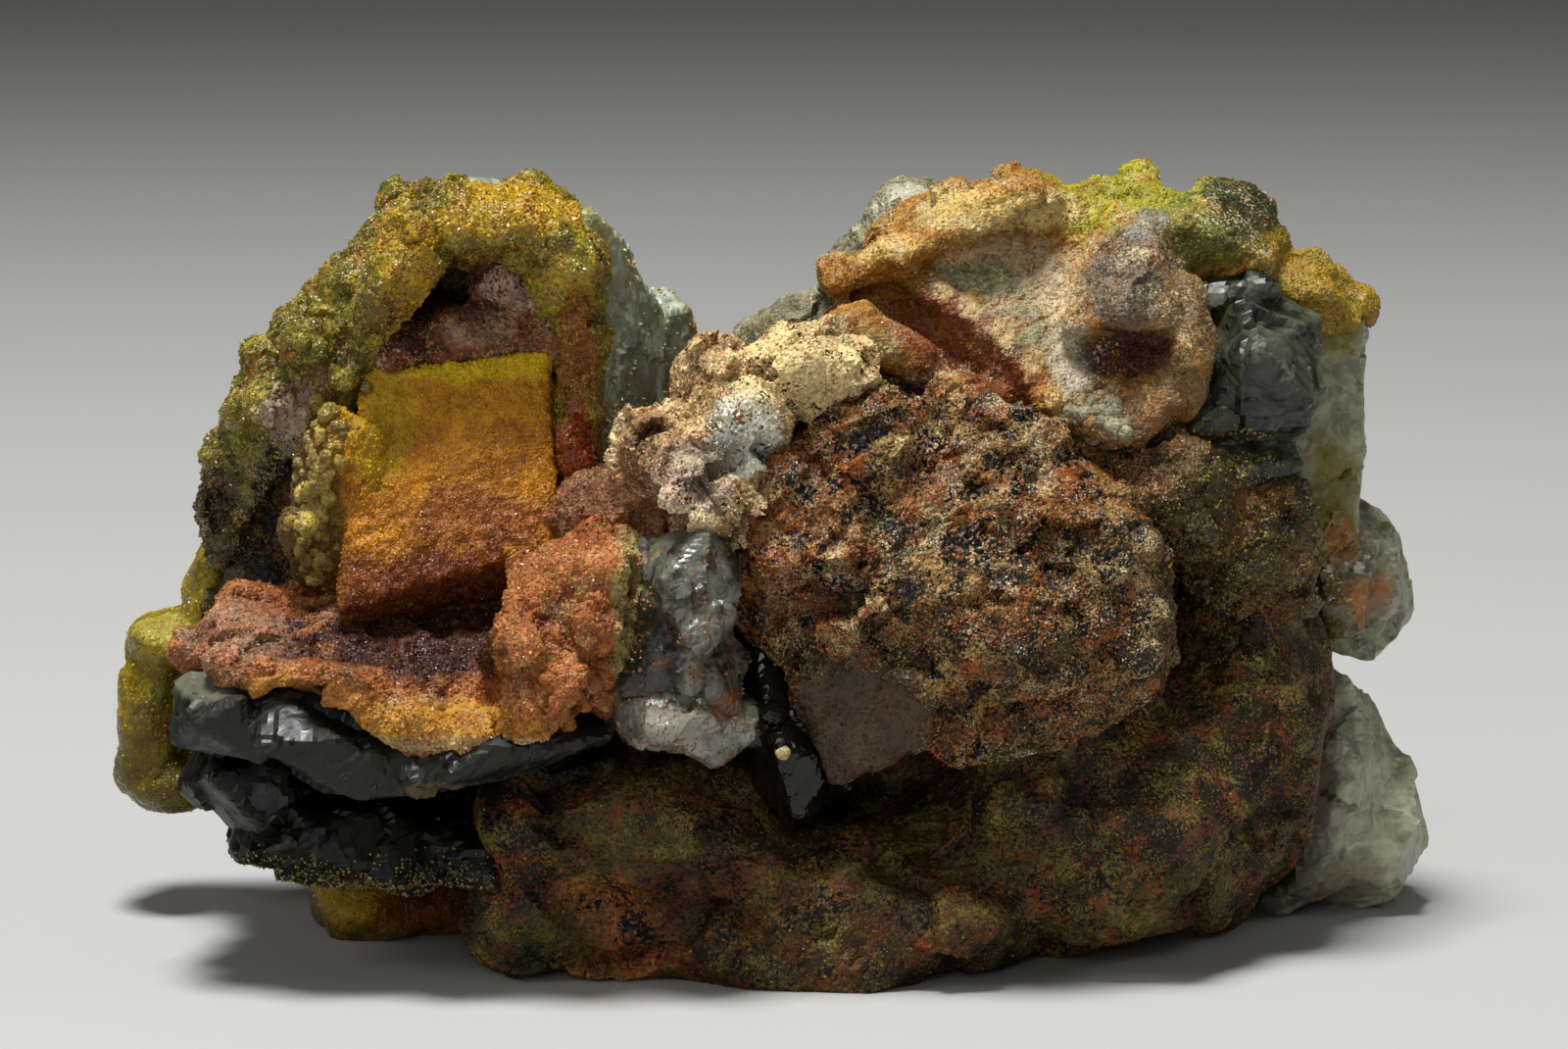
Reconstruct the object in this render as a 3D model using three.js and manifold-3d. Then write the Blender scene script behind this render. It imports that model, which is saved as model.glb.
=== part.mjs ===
// Mimetite with pyromorphite: a hand specimen of broken quartz, 80 mm wide, on which
// sugary crusts of yellow pyromorphite and orange mimetite grew.
// Two humps with a saddle between them: the left one carries a crusted rhomb-shaped
// block under a yellow hood and a translucent quartz fin, and the right one carries
// a crusted slope, a cavity, a yellow cap and a smoky quartz. A speckled boulder of
// quartz stands in front of the right hump, and milky quartz wings close the far side.
// Units are millimetres, +Z is up, and -Y is the front of the specimen.
// The origin is the middle of the underside.
import * as THREE from "three";
import { ConvexGeometry } from "three/addons/geometries/ConvexGeometry.js";
import { mergeVertices } from "three/addons/utils/BufferGeometryUtils.js";
import Module from "manifold-3d";

const wasm = await Module();
wasm.setup();

// Driving dimensions
const CLEARANCE = 0.3; // between neighbouring pieces
const STONE_CORNERS = 16; // points that make one ordinary stone
const NODULE_CORNERS = 9; // points that make one small round nodule
const CRYSTAL_CORNERS = 11; // points that make one sharp broken piece of quartz
const CORNER_REACH = 1.09; // corners stand past the half size, and faces fall short of it
const GROUND = 200; // side of the block that cuts the underside flat

// Finishes: colour and roughness of each mineral
const OLIVE_CRUST = { color: 0x7d7420, roughness: 0.6 };
const YELLOW_CRUST = { color: 0xc2a01c, roughness: 0.6 };
const ORANGE_CRUST = { color: 0xc47d2c, roughness: 0.7 };
const BEIGE_CRUST = { color: 0xb58a52, roughness: 0.8 };
const PINK_DRUSE = { color: 0xa07866, roughness: 0.9 };
const CLEAR_QUARTZ = { color: 0x8b9484, roughness: 0.25 };
const MILKY_QUARTZ = { color: 0xb9bca8, roughness: 0.35 };
const SMOKY_QUARTZ = { color: 0x2f3029, roughness: 0.25 };
const SPECKLED_QUARTZ = { color: 0x6b5540, roughness: 0.7 };
const BROWN_ROCK = { color: 0x4d3a24, roughness: 0.8 };

// A repeatable stream of numbers from 0 to 1.
function numbersFrom(seed) {
  let state = Math.imul(seed, 0x9e3779b1);
  return () => {
    state = (state + 0x6d2b79f5) | 0;
    let t = Math.imul(state ^ (state >>> 15), 1 | state);
    t = (t + Math.imul(t ^ (t >>> 7), 61 | t)) ^ t;
    return ((t ^ (t >>> 14)) >>> 0) / 2 ** 32;
  };
}

// Each stone takes its shape from its own place, so moving one leaves the others alone.
function seedOf(place) {
  return Math.round(place[0] * 7919 + place[1] * 104729 + place[2] * 1299709);
}

// A convex stone: half is its half size along its own x, y and z, turn its rotation in
// degrees, and square how box-like it is (2 is an ellipsoid). Like every form here it is
// a function that gives its corner points, moved outwards by a margin.
function stone(at, half, { turn = [0, 0, 0], corners = STONE_CORNERS, square = 2.6, rough = 0.12 } = {}) {
  const next = numbersFrom(seedOf(at));
  const rotation = new THREE.Euler(...turn.map(THREE.MathUtils.degToRad));
  const goldenAngle = Math.PI * (3 - Math.sqrt(5));
  const twist = next() * Math.PI * 2;
  const unit = Array.from({ length: corners }, (_, i) => {
    const up = 1 - (2 * (i + 0.5)) / corners;
    const ring = Math.sqrt(1 - up * up);
    const p = new THREE.Vector3(
      ring * Math.cos(i * goldenAngle + twist) + (next() - 0.5) * rough,
      ring * Math.sin(i * goldenAngle + twist) + (next() - 0.5) * rough,
      up + (next() - 0.5) * rough,
    );
    const reach = p.toArray().reduce((sum, value) => sum + Math.abs(value) ** square, 0) ** (1 / square);
    return p.multiplyScalar((CORNER_REACH * (1 - rough * next())) / reach);
  });
  return (margin) => {
    const size = new THREE.Vector3(...half).addScalar(margin);
    return unit.map((p) => p.clone().multiply(size).applyEuler(rotation).add(new THREE.Vector3(...at)));
  };
}

// A box-like stone with flatter sides.
function slab(at, half, turn = [0, 0, 0]) {
  return stone(at, half, { turn, square: 5, rough: 0.1 });
}

// A sharp broken piece of quartz with large flat faces.
function crystal(at, half, turn = [0, 0, 0]) {
  return stone(at, half, { turn, corners: CRYSTAL_CORNERS, square: 3.2, rough: 0.3 });
}

// Small rounded nodules of crust, each given as x, y, z and radius.
function nodules(...places) {
  return places.map(([x, y, z, radius]) =>
    stone([x, y, z], [radius, radius * 1.15, radius], { corners: NODULE_CORNERS, square: 2, rough: 0.1 }),
  );
}

// A form with the given corners, which takes its margin along x, y and z.
function wedge(corners) {
  const axes = [new THREE.Vector3(1, 0, 0), new THREE.Vector3(0, 1, 0), new THREE.Vector3(0, 0, 1)];
  const ways = axes.flatMap((axis) => [axis, axis.clone().negate()]);
  const moved = (corner, margin) => ways.map((way) => corner.clone().addScaledVector(way, margin));
  return (margin) => corners.flatMap((corner) => moved(corner, margin));
}

// A closed sheet of even thickness, from its face corners and its depth.
function plate(face, depth) {
  const front = face.map((corner) => new THREE.Vector3(...corner));
  return wedge([...front, ...front.map((corner) => corner.clone().add(new THREE.Vector3(...depth)))]);
}

// A closed three.js geometry as a solid that can be joined and cut.
function solidFrom(geometry) {
  const bare = new THREE.BufferGeometry().setAttribute("position", geometry.getAttribute("position"));
  if (geometry.index) bare.setIndex(geometry.index);
  const merged = mergeVertices(bare, 1e-4);
  return new wasm.Manifold(
    new wasm.Mesh({
      numProp: 3,
      vertProperties: merged.attributes.position.array,
      triVerts: new Uint32Array(merged.index.array),
    }),
  );
}

// One solid from several forms, each moved outwards by the margin.
function joined(forms, margin) {
  const solids = forms.map((form) => solidFrom(new ConvexGeometry(form(margin))));
  return solids.reduce((all, next) => all.add(next));
}

// Rock: the brown quartz-rich body that everything else grew on. It is cut flat below,
// carries both humps, and shows at the front below the boulder and at the right end.
function matrixRock() {
  return {
    name: "matrix_rock",
    finish: BROWN_ROCK,
    forms: {
      middle: slab([-1.0, 3.6, 17.4], [25.0, 13.0, 10.4]),
      leftHump: stone([-20.0, 3.0, 30.0], [8.8, 8.4, 12.4], { square: 3 }),
      leftFlank: stone([-24.6, 4.6, 21.0], [9.4, 8.4, 7.4], { square: 3 }),
      leftShoulder: stone([-26.6, 1.6, 30.6], [5.0, 6.2, 6.4], { turn: [0, 24, 0], square: 3 }),
      leftToe: slab([-14.0, -8.4, 4.2], [4.0, 7.4, 4.0], [6, 24, 0]),
      rightHump: stone([19.4, 5.0, 30.0], [13.4, 10.6, 10.6], { square: 3 }),
      frontSlab: slab([-7.6, -8.6, 9.4], [9.2, 8.0, 5.0], [8, 10, 0]),
      redFacet: crystal([-8.6, -7.6, 2.8], [3.4, 8.4, 4.4], [8, 10, 0]),
      frontFoot: stone([4.4, -6.2, 4.0], [13.6, 10.2, 5.8], { turn: [12, -2, 0], square: 4 }),
      rightFoot: stone([18.6, -3.0, 9.2], [11.6, 11.6, 8.0], { turn: [16, -16, 0], square: 4 }),
      rightToe: slab([26.8, 1.2, 5.4], [5.6, 7.0, 4.6], [0, -4, 0]),
      rightFlank: stone([28.2, 2.4, 15.6], [6.4, 10.6, 12.0], { square: 3 }),
      leftBase: stone([-25.6, 2.6, 11.6], [9.4, 9.6, 6.6], { square: 3 }),
      back: stone([-2.0, 11.6, 21.0], [27.0, 8.0, 12.6], { square: 3 }),
      backFoot: stone([2.0, 9.6, 5.6], [22.0, 9.8, 6.6], { square: 4 }),
      backLedge: crystal([-11.0, 15.0, 15.0], [11.0, 6.0, 7.6], [14, 12, -8]),
      backKnob: crystal([14.0, 15.2, 24.0], [10.0, 6.0, 8.6], [-10, -18, 10]),
      leftBackFlank: crystal([-22.0, 10.8, 23.0], [8.4, 6.4, 7.0], [0, 24, -14]),
    },
    hollows: { crevice: stone([-29.8, -7.4, 24.6], [2.8, 6.4, 4.6], { turn: [0, 8, 0] }) },
  };
}

// Smoky base: nearly black glassy quartz at the lower left, under the ledge.
function smokyBase() {
  return {
    name: "smoky_quartz_base",
    finish: SMOKY_QUARTZ,
    forms: {
      left: slab([-30.4, -7.4, 11.2], [4.2, 7.4, 3.0], [0, 26, 0]),
      middle: slab([-25.0, -7.8, 9.0], [6.4, 8.0, 3.4], [6, 14, 0]),
      right: crystal([-17.6, -8.0, 8.0], [6.0, 7.6, 3.6], [8, 12, 0]),
    },
  };
}

// Ledge: broken grey quartz that shows as a band between the bowl and the smoky base.
function quartzLedge() {
  return {
    name: "quartz_ledge",
    finish: CLEAR_QUARTZ,
    forms: {
      left: slab([-31.2, -11.6, 15.9], [4.0, 6.0, 2.5], [0, 14, -8]),
      middle: slab([-25.2, -12.4, 14.4], [6.4, 7.0, 2.5], [-4, 16, 0]),
      right: slab([-16.4, -12.8, 14.2], [7.0, 7.0, 1.8], [-4, -12, 4]),
    },
  };
}

// Boulder: the big speckled quartz in front of the right hump. Its front leans back, its
// lower edge is broken into an overhanging chin and jaw, and its shoulder runs on to the
// right, up to the smoky quartz.
function speckledBoulder() {
  const chinFace = [
    [1.0, -16.4, 18.8],
    [9.8, -17.6, 21.2],
    [8.6, -16.8, 14.8],
    [3.8, -15.6, 12.1],
  ];
  return {
    name: "speckled_boulder",
    finish: SPECKLED_QUARTZ,
    forms: {
      core: slab([11.4, -9.2, 23.4], [11.2, 8.4, 9.2], [-14, 4, 2]),
      crown: stone([6.4, -9.8, 31.0], [5.2, 7.0, 3.8], { turn: [-20, 10, 0], square: 3.5 }),
      left: stone([1.2, -11.4, 26.0], [3.6, 6.6, 6.2], { square: 3.5 }),
      right: stone([19.2, -9.0, 22.0], [4.4, 7.0, 6.4], { turn: [0, 0, 12], square: 3.5 }),
      brow: stone([13.6, -9.0, 30.6], [5.0, 6.0, 2.8], { turn: [-20, 24, 0], square: 3.5 }),
      chin: plate(chinFace, [0.4, 8, 1]),
      jaw: stone([14.6, -10.8, 16.6], [6.4, 6.2, 2.9], { turn: [0, -8, 0], square: 3.5 }),
      jawEnd: crystal([20.0, -10.4, 18.2], [3.8, 6.0, 2.6], [0, -14, 8]),
      shoulder: slab([23.6, -5.6, 28.4], [4.8, 5.4, 3.8], [-12, 8, 14]),
      shoulderEnd: slab([28.2, -3.4, 25.2], [4.2, 5.4, 4.6], [-8, 6, 20]),
      nodules: nodules([1.2, -17.8, 25.4, 1.5], [15.6, -15.6, 27.6, 1.4], [18.6, -15.8, 21.8, 1.6]),
    },
  };
}

// Dark wedge: a glossy black smoky crystal wedged beside the boulder's lower edge.
function darkWedge() {
  return {
    name: "dark_wedge_crystal",
    finish: SMOKY_QUARTZ,
    forms: {
      top: crystal([0.0, -13.6, 17.2], [2.0, 3.6, 3.2], [10, 20, 0]),
      point: crystal([1.4, -13.0, 13.4], [2.4, 4.2, 4.4], [10, -24, 0]),
    },
  };
}

// Middle quartz: light grey broken quartz that stands nearest to the front.
function middleQuartz() {
  return {
    name: "light_grey_quartz",
    finish: MILKY_QUARTZ,
    forms: {
      upper: crystal([-4.8, -16.0, 23.6], [3.5, 5.2, 4.1], [-10, 20, 0]),
      middle: crystal([-4.4, -15.8, 19.4], [4.0, 5.4, 3.6], [0, 10, 0]),
      lowerLobe: slab([-5.2, -15.6, 16.4], [3.6, 4.8, 1.7], [0, 14, 0]),
      lowerEnd: crystal([-2.8, -16.0, 15.8], [2.4, 4.4, 2.0], [0, -10, 0]),
    },
  };
}

// Smoky lens: grey glassy quartz at the right, broken in curved flakes.
function smokyLens() {
  return {
    name: "smoky_quartz_lens",
    finish: SMOKY_QUARTZ,
    forms: {
      middle: crystal([28.4, -2.4, 34.4], [5.2, 7.8, 5.8], [-8, 12, 10]),
      top: crystal([27.8, -0.6, 38.6], [4.0, 6.2, 2.8], [-14, 16, 0]),
      bottom: crystal([27.2, -3.2, 29.8], [5.2, 7.0, 3.2], [6, -16, 0]),
    },
  };
}

// Light rim: pale greenish translucent quartz that closes the right side.
function lightRim() {
  const sheetFace = [
    [33.2, 0.2, 37.4],
    [36.2, 0.8, 38.2],
    [35.4, 0.4, 29.0],
    [36.0, 0.8, 24.6],
    [32.4, -1.0, 23.4],
    [31.6, -1.2, 31.0],
  ];
  return {
    name: "light_quartz_rim",
    finish: MILKY_QUARTZ,
    forms: {
      sheet: plate(sheetFace, [0.6, 9.5, 0]),
      bottom: crystal([32.6, 5.8, 22.4], [5.0, 7.2, 5.6], [0, -10, 0]),
      upperWing: stone([36.4, 8.4, 21.2], [3.4, 5.4, 4.8], { turn: [0, -14, 0], square: 3.4 }),
    },
  };
}

// White wing: a smooth milky lobe of quartz at the lower right, which stands on its end.
function whiteWing() {
  return {
    name: "white_quartz_wing",
    finish: MILKY_QUARTZ,
    forms: {
      tip: stone([37.6, 9.0, 5.0], [3.6, 5.2, 4.8], { turn: [0, -8, 0], square: 3.8 }),
      middle: stone([35.6, 9.0, 9.6], [3.4, 5.2, 5.6], { turn: [0, -24, 0], square: 3.4 }),
      root: stone([32.6, 8.0, 6.4], [4.6, 7.0, 6.6], { square: 3.4 }),
    },
  };
}

// Back crag: a rounded chunk of quartz that looks over the right hump from behind, with
// a low ridge that runs from it across the saddle.
function backCrag() {
  return {
    name: "back_crag",
    finish: BEIGE_CRUST,
    forms: {
      crag: stone([9.2, 12.0, 42.4], [2.7, 5.0, 3.2], { turn: [0, -20, 0] }),
      shoulder: stone([6.4, 12.0, 39.4], [3.0, 5.2, 3.0], { turn: [0, -40, 0] }),
      lowRidge: stone([1.4, 12.0, 35.8], [3.4, 4.6, 2.2], { turn: [0, -24, 0] }),
    },
  };
}

// Fin: a translucent plate of quartz behind the block's right side, whose outer edge
// steps down in small teeth. Its outline is drawn along the plate and upwards.
function quartzFin() {
  const outline = [
    [-0.8, 43.4],
    [0.9, 45.2],
    [4.9, 43.0],
    [7.2, 40.4],
    [10.4, 38.2],
    [13.8, 38.2],
    [15.4, 35.8],
    [14.8, 30.0],
  ];
  const root = [-11.0, -6.4];
  const swing = THREE.MathUtils.degToRad(64);
  const thickness = 3.6;
  const foot = 28;
  const along = (distance, back, height) =>
    new THREE.Vector3(
      root[0] + distance * Math.cos(swing) - back * Math.sin(swing),
      root[1] + distance * Math.sin(swing) + back * Math.cos(swing),
      height,
    );
  const bands = outline.slice(1).map((corner, i) => [outline[i], corner]);
  const toothSize = [1.0, 1.9, 1.0];
  const tooth = ([distance, height]) => crystal(along(distance, thickness / 2, height).toArray(), toothSize);
  return {
    name: "quartz_fin",
    finish: CLEAR_QUARTZ,
    forms: {
      sheet: bands.map((edge) =>
        wedge(
          edge.flatMap(([distance, height]) =>
            [height, foot].flatMap((z) => [along(distance, 0, z), along(distance, thickness, z)]),
          ),
        ),
      ),
      teeth: outline.slice(2, -1).map(tooth),
    },
  };
}

// Coated block: rhomb-shaped and thickly crusted, it leans back and its underside overhangs
// the bowl. A mass of grape-like nodules grows down its left side.
function rhombBlock() {
  const face = [
    [-24.0, -8.5, 35.7],
    [-13.2, -8.5, 37.0],
    [-12.7, -12.5, 26.0],
    [-25.3, -13.6, 22.4],
  ];
  const depth = [0.8, 7.5, -4.2];
  return {
    name: "rhomb_block",
    finish: ORANGE_CRUST,
    forms: {
      rhomb: plate(face, depth),
      leftMass: stone([-25.4, -8.8, 27.4], [3.0, 2.6, 6.8], { turn: [16, 6, 0] }),
      grapes: nodules(
        [-25.4, -8.4, 34.2, 1.3],
        [-26.8, -9.0, 31.0, 1.5],
        [-27.8, -10.6, 26.6, 1.5],
        [-27.0, -11.6, 22.8, 1.4],
      ),
    },
  };
}

// Pink druse: the dusty pink lumps inside the hollow under the hood.
function hollowDruse() {
  return {
    name: "pink_hollow_druse",
    finish: PINK_DRUSE,
    forms: {
      shelf: stone([-17.4, -4.0, 37.2], [5.2, 4.8, 1.9]),
      lump: stone([-14.8, -4.4, 40.4], [2.8, 3.2, 2.4]),
      right: stone([-13.6, -4.6, 37.6], [2.0, 3.4, 2.6]),
      left: stone([-21.8, -4.6, 37.0], [2.4, 4.2, 1.9]),
      nodules: nodules([-18.9, -7.6, 38.0, 1.1]),
    },
  };
}

// Saddle: dusty pink druse between the block and the middle lumps.
function saddleDruse() {
  return {
    name: "saddle_druse",
    finish: PINK_DRUSE,
    forms: {
      floor: stone([-9.0, -8.6, 26.8], [4.2, 7.0, 3.0], { turn: [-15, -6, 0] }),
      rise: stone([-7.0, -11.4, 28.4], [2.0, 4.0, 2.0]),
      nodules: nodules([-9.8, -12.6, 28.2, 1.2], [-7.6, -13.0, 29.2, 1.0]),
    },
  };
}

// Middle lumps: pinkish and bluish white chunks, with beige crust above them that
// reaches up to the right hump.
function middleLumps() {
  return {
    name: "middle_lumps",
    finish: BEIGE_CRUST,
    forms: {
      pink: stone([-4.8, -14.4, 30.4], [2.5, 4.6, 2.7]),
      blueWhite: crystal([-1.3, -14.6, 33.0], [2.7, 4.6, 3.0], [-10, -15, 0]),
      brown: stone([-6.9, -12.6, 31.6], [1.9, 4.0, 2.4]),
      peak: stone([-3.0, -10.4, 35.2], [2.6, 4.4, 2.2], { turn: [0, -20, 0] }),
      beige: stone([1.6, -11.8, 35.6], [4.4, 4.8, 2.6], { turn: [-20, -10, 0] }),
      low: stone([-2.9, -15.0, 28.4], [2.5, 3.8, 2.4]),
      nodules: nodules([-3.6, -12.4, 37.0, 1.1], [-6.4, -14.8, 33.2, 1.1], [3.6, -12.0, 38.2, 1.3]),
    },
  };
}

// Bowl: the orange crust in front of the block, a dish with a ragged lip and a big
// knobbly mound at its right end.
function bowlCrust() {
  return {
    name: "bowl_crust",
    finish: ORANGE_CRUST,
    forms: {
      dish: stone([-21.6, -10.8, 18.2], [10.8, 8.4, 3.0], { turn: [22, 3, 0], square: 3.4, corners: 24 }),
      leftEnd: stone([-30.4, -10.0, 20.0], [3.2, 5.5, 2.4], { turn: [14, 0, 0] }),
      lipLeft: stone([-29.6, -14.6, 18.8], [3.4, 3.2, 1.2], { turn: [0, 12, 0] }),
      lipMiddle: stone([-24.4, -15.8, 17.6], [3.8, 3.2, 1.2], { turn: [0, 16, 0] }),
      lipRight: stone([-18.4, -16.8, 16.6], [4.0, 3.2, 1.4]),
      lipEnd: stone([-12.8, -17.6, 18.4], [2.6, 3.2, 1.8], { turn: [0, -30, 0] }),
      mound: stone([-12.2, -14.8, 20.8], [4.4, 5.6, 4.8], { turn: [24, 0, 0] }),
      moundTop: stone([-9.8, -14.8, 24.8], [2.8, 4.8, 2.4], { turn: [0, -30, 0] }),
      knob: stone([-6.6, -16.2, 28.2], [1.8, 2.8, 1.3]),
      nodules: nodules(
        [-13.9, -19.2, 21.2, 1.7],
        [-11.8, -19.6, 19.2, 1.8],
        [-10.2, -19.2, 22.4, 1.6],
        [-12.8, -18.0, 24.0, 1.4],
        [-34.2, -11.4, 19.8, 1.4],
      ),
    },
    hollows: { inside: stone([-20.6, -13.8, 22.9], [7.2, 6.6, 3.2], { turn: [20, 4, 0] }) },
  };
}

// Shelf: a wall of smooth yellow crust that stands out at the far left.
function leftShelf() {
  return {
    name: "left_shelf_crust",
    finish: YELLOW_CRUST,
    forms: {
      top: slab([-36.4, 7.6, 17.4], [3.8, 5.0, 1.3], [0, -8, 0]),
      wall: slab([-38.8, 8.2, 12.6], [1.9, 4.4, 4.6], [0, 4, 0]),
      foot: stone([-38.0, 7.6, 8.4], [3.2, 4.2, 1.8], { turn: [0, 14, 0] }),
      backing: stone([-34.6, 7.6, 13.0], [2.6, 4.6, 4.6]),
      rise: stone([-34.4, 7.2, 21.0], [1.9, 5.2, 3.8], { turn: [0, 18, 0] }),
    },
  };
}

// Left foot: a yellow-brown lobe of crust that helps the specimen to stand.
function leftFoot() {
  return {
    name: "left_foot_lobe",
    finish: YELLOW_CRUST,
    forms: {
      left: stone([-24.8, 2.6, 2.2], [3.6, 6.8, 3.2]),
      right: stone([-20.0, 3.0, 2.0], [2.8, 6.4, 2.6]),
    },
  };
}

// Crust of the left hump: knobbly olive crust falls from the top to the left edge, and a
// thick yellow hood arches over the hollow behind the block, down to a jamb at its right.
function leftHumpCrust() {
  const upperFace = [
    [-22.9, -4.6, 45.2],
    [-25.6, -5.8, 41.4],
    [-30.0, -4.6, 37.4],
    [-31.8, -6.2, 34.0],
    [-25.4, -9.6, 34.0],
    [-23.2, -8.6, 38.6],
    [-21.0, -7.0, 43.6],
  ];
  const lowerFace = [
    [-31.4, -5.4, 35.6],
    [-34.4, -1.4, 28.4],
    [-32.6, -2.8, 25.4],
    [-28.8, -7.6, 30.6],
    [-26.6, -8.8, 34.6],
  ];
  return {
    name: "left_hump_crust",
    finish: OLIVE_CRUST,
    forms: {
      hoodTop: slab([-16.2, -4.2, 44.0], [4.6, 5.8, 1.9], [-8, 4, 0]),
      hoodBack: stone([-16.2, 2.0, 43.0], [5.4, 6.5, 3.0]),
      leftArm: slab([-21.4, -9.2, 43.0], [1.4, 2.6, 4.5], [0, 29, 0]),
      arch: slab([-15.6, -9.0, 44.5], [4.2, 2.4, 1.4], [0, 12, 0]),
      rightArm: stone([-12.1, -8.2, 42.0], [1.9, 3.0, 2.4], { turn: [0, 35, 0] }),
      jamb: stone([-11.2, -7.2, 38.0], [1.1, 3.0, 4.2]),
      jambFoot: stone([-11.5, -7.4, 32.2], [1.2, 3.2, 4.2]),
      shoulder: plate(upperFace, [1.6, 7, -1]),
      slope: plate(lowerFace, [1.4, 7, 0.6]),
      rimFoot: stone([-32.8, 1.5, 25.4], [1.9, 4.4, 2.6]),
      nodules: nodules(
        [-22.0, -1.0, 45.0, 1.5],
        [-14.6, -1.6, 45.6, 1.3],
        [-17.8, -10.4, 44.0, 1.0],
        [-14.4, -10.0, 43.4, 1.0],
        [-28.4, -5.6, 38.2, 1.2],
        [-25.4, -6.0, 40.9, 1.3],
        [-30.6, -5.0, 36.2, 1.2],
        [-31.4, -6.0, 33.4, 1.2],
        [-27.6, -8.2, 37.4, 1.4],
        [-29.6, -7.4, 34.0, 1.5],
        [-33.2, -2.4, 30.0, 1.3],
        [-33.8, -1.4, 26.8, 1.3],
      ),
    },
  };
}

// Grey tip: the point of quartz that breaks through the top of the left hump.
function greyTip() {
  return {
    name: "grey_quartz_tip",
    finish: CLEAR_QUARTZ,
    forms: { tip: crystal([-18.0, 2.4, 45.3], [2.2, 3.2, 1.7], [0, 0, 15]) },
  };
}

// Crust of the right hump: a beige slope that steps down to a long trough, an orange ridge
// that climbs to the crest, a yellow cap with a dark olive block at its end, and a pinkish
// nose over a cavity with a jamb at its right.
function rightHumpCrust() {
  const slopeFace = [
    [6.6, -4.8, 42.4],
    [15.6, -2.4, 45.4],
    [24.5, -3.2, 44.4],
    [25.4, -9.2, 35.8],
    [22.0, -11.6, 32.2],
    [16.6, -10.9, 33.2],
  ];
  const troughFace = [
    [3.4, -5.4, 38.8],
    [7.6, -2.8, 42.2],
    [17.4, -8.8, 33.8],
    [14.4, -10.4, 31.4],
    [8.0, -8.6, 34.0],
  ];
  const nose = [
    [20.2, -4.4, 45.4],
    [22.4, -4.2, 45.2],
    [17.6, -9.6, 38.4],
    [24.6, -9.4, 38.6],
    [20.8, -11.2, 39.4],
    [22.8, -8.8, 43.0],
    [18.8, -8.2, 42.0],
    [19.0, -3.0, 38.4],
    [24.0, -3.0, 39.0],
  ];
  return {
    name: "right_hump_crust",
    finish: ORANGE_CRUST,
    forms: {
      slope: plate(slopeFace, [0.6, 6.5, -3]),
      nose: wedge(nose.map((corner) => new THREE.Vector3(...corner))),
      trough: plate(troughFace, [0.6, 6.0, -2]),
      leftChip: slab([5.8, -7.6, 37.6], [2.5, 3.6, 1.3], [-14, 36, 0]),
      middleChip: slab([8.0, -7.8, 36.4], [2.2, 3.6, 1.2], [-14, 34, 0]),
      lowNodule: stone([12.0, -10.6, 34.2], [2.4, 2.8, 1.2], { turn: [0, 22, 0] }),
      ridge: slab([10.0, -4.2, 43.7], [6.6, 2.6, 0.9], [0, -27, 0]),
      ridgeEnd: stone([15.9, -1.4, 45.0], [2.1, 3.4, 2.0]),
      ridgeBack: stone([11.6, 3.4, 43.0], [5.6, 5.8, 2.8], { turn: [0, -14, 0] }),
      capLeft: stone([20.6, 3.6, 42.8], [5.4, 8.6, 3.2], { turn: [-14, 0, 0] }),
      capMiddle: stone([26.0, 3.6, 41.6], [5.8, 8.6, 3.4], { turn: [-12, 8, 0] }),
      capRight: stone([32.2, 5.2, 38.8], [5.2, 8.0, 2.6], { turn: [-10, 26, 0] }),
      oliveBlock: slab([28.4, 3.4, 43.6], [2.3, 4.6, 2.2], [0, 6, 0]),
      oliveKnob: stone([27.3, 3.0, 45.3], [1.3, 3.0, 0.9]),
      rightJamb: stone([25.0, -6.6, 37.0], [1.3, 4.0, 4.2], { turn: [-20, 0, 0] }),
      nodules: nodules(
        [4.0, -6.2, 41.4, 1.2],
        [8.8, -5.4, 43.2, 1.1],
        [11.2, -0.8, 45.6, 1.4],
        [14.6, -0.4, 46.2, 1.4],
        [22.6, 3.0, 45.8, 1.6],
        [33.0, 0.4, 41.0, 1.4],
        [36.0, 2.4, 38.6, 1.4],
      ),
    },
    hollows: { cavity: stone([21.4, -10.6, 37.0], [3.2, 2.9, 1.6], { turn: [24, -14, 0] }) },
  };
}

// Every piece in the order in which it is fitted: each one is cut clear of those before it.
const PIECES = [
  matrixRock(),
  smokyBase(),
  quartzLedge(),
  speckledBoulder(),
  middleQuartz(),
  darkWedge(),
  smokyLens(),
  lightRim(),
  whiteWing(),
  backCrag(),
  rhombBlock(),
  quartzFin(),
  bowlCrust(),
  saddleDruse(),
  middleLumps(),
  greyTip(),
  leftHumpCrust(),
  hollowDruse(),
  leftShelf(),
  leftFoot(),
  rightHumpCrust(),
];

// Joins each piece's forms, opens its hollows, clears it from the pieces before it and
// from the ground, and keeps the one body that remains.
function fitted(pieces) {
  let taken = solidFrom(new THREE.BoxGeometry(GROUND, GROUND, GROUND).translate(0, 0, -GROUND / 2));
  return pieces.map(({ name, finish, forms, hollows = {} }) => {
    const solid = Object.values(forms).flat();
    const open = Object.values(hollows);
    const shape = (margin) => {
      const whole = joined(solid, margin);
      return open.reduce((rest, form) => rest.subtract(joined([form], -margin)), whole);
    };
    const bodies = shape(0).subtract(taken).decompose();
    const body = bodies.reduce((best, next) => (next.volume() > best.volume() ? next : best));
    taken = taken.add(shape(CLEARANCE));
    return { name, finish, body };
  });
}

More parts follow.
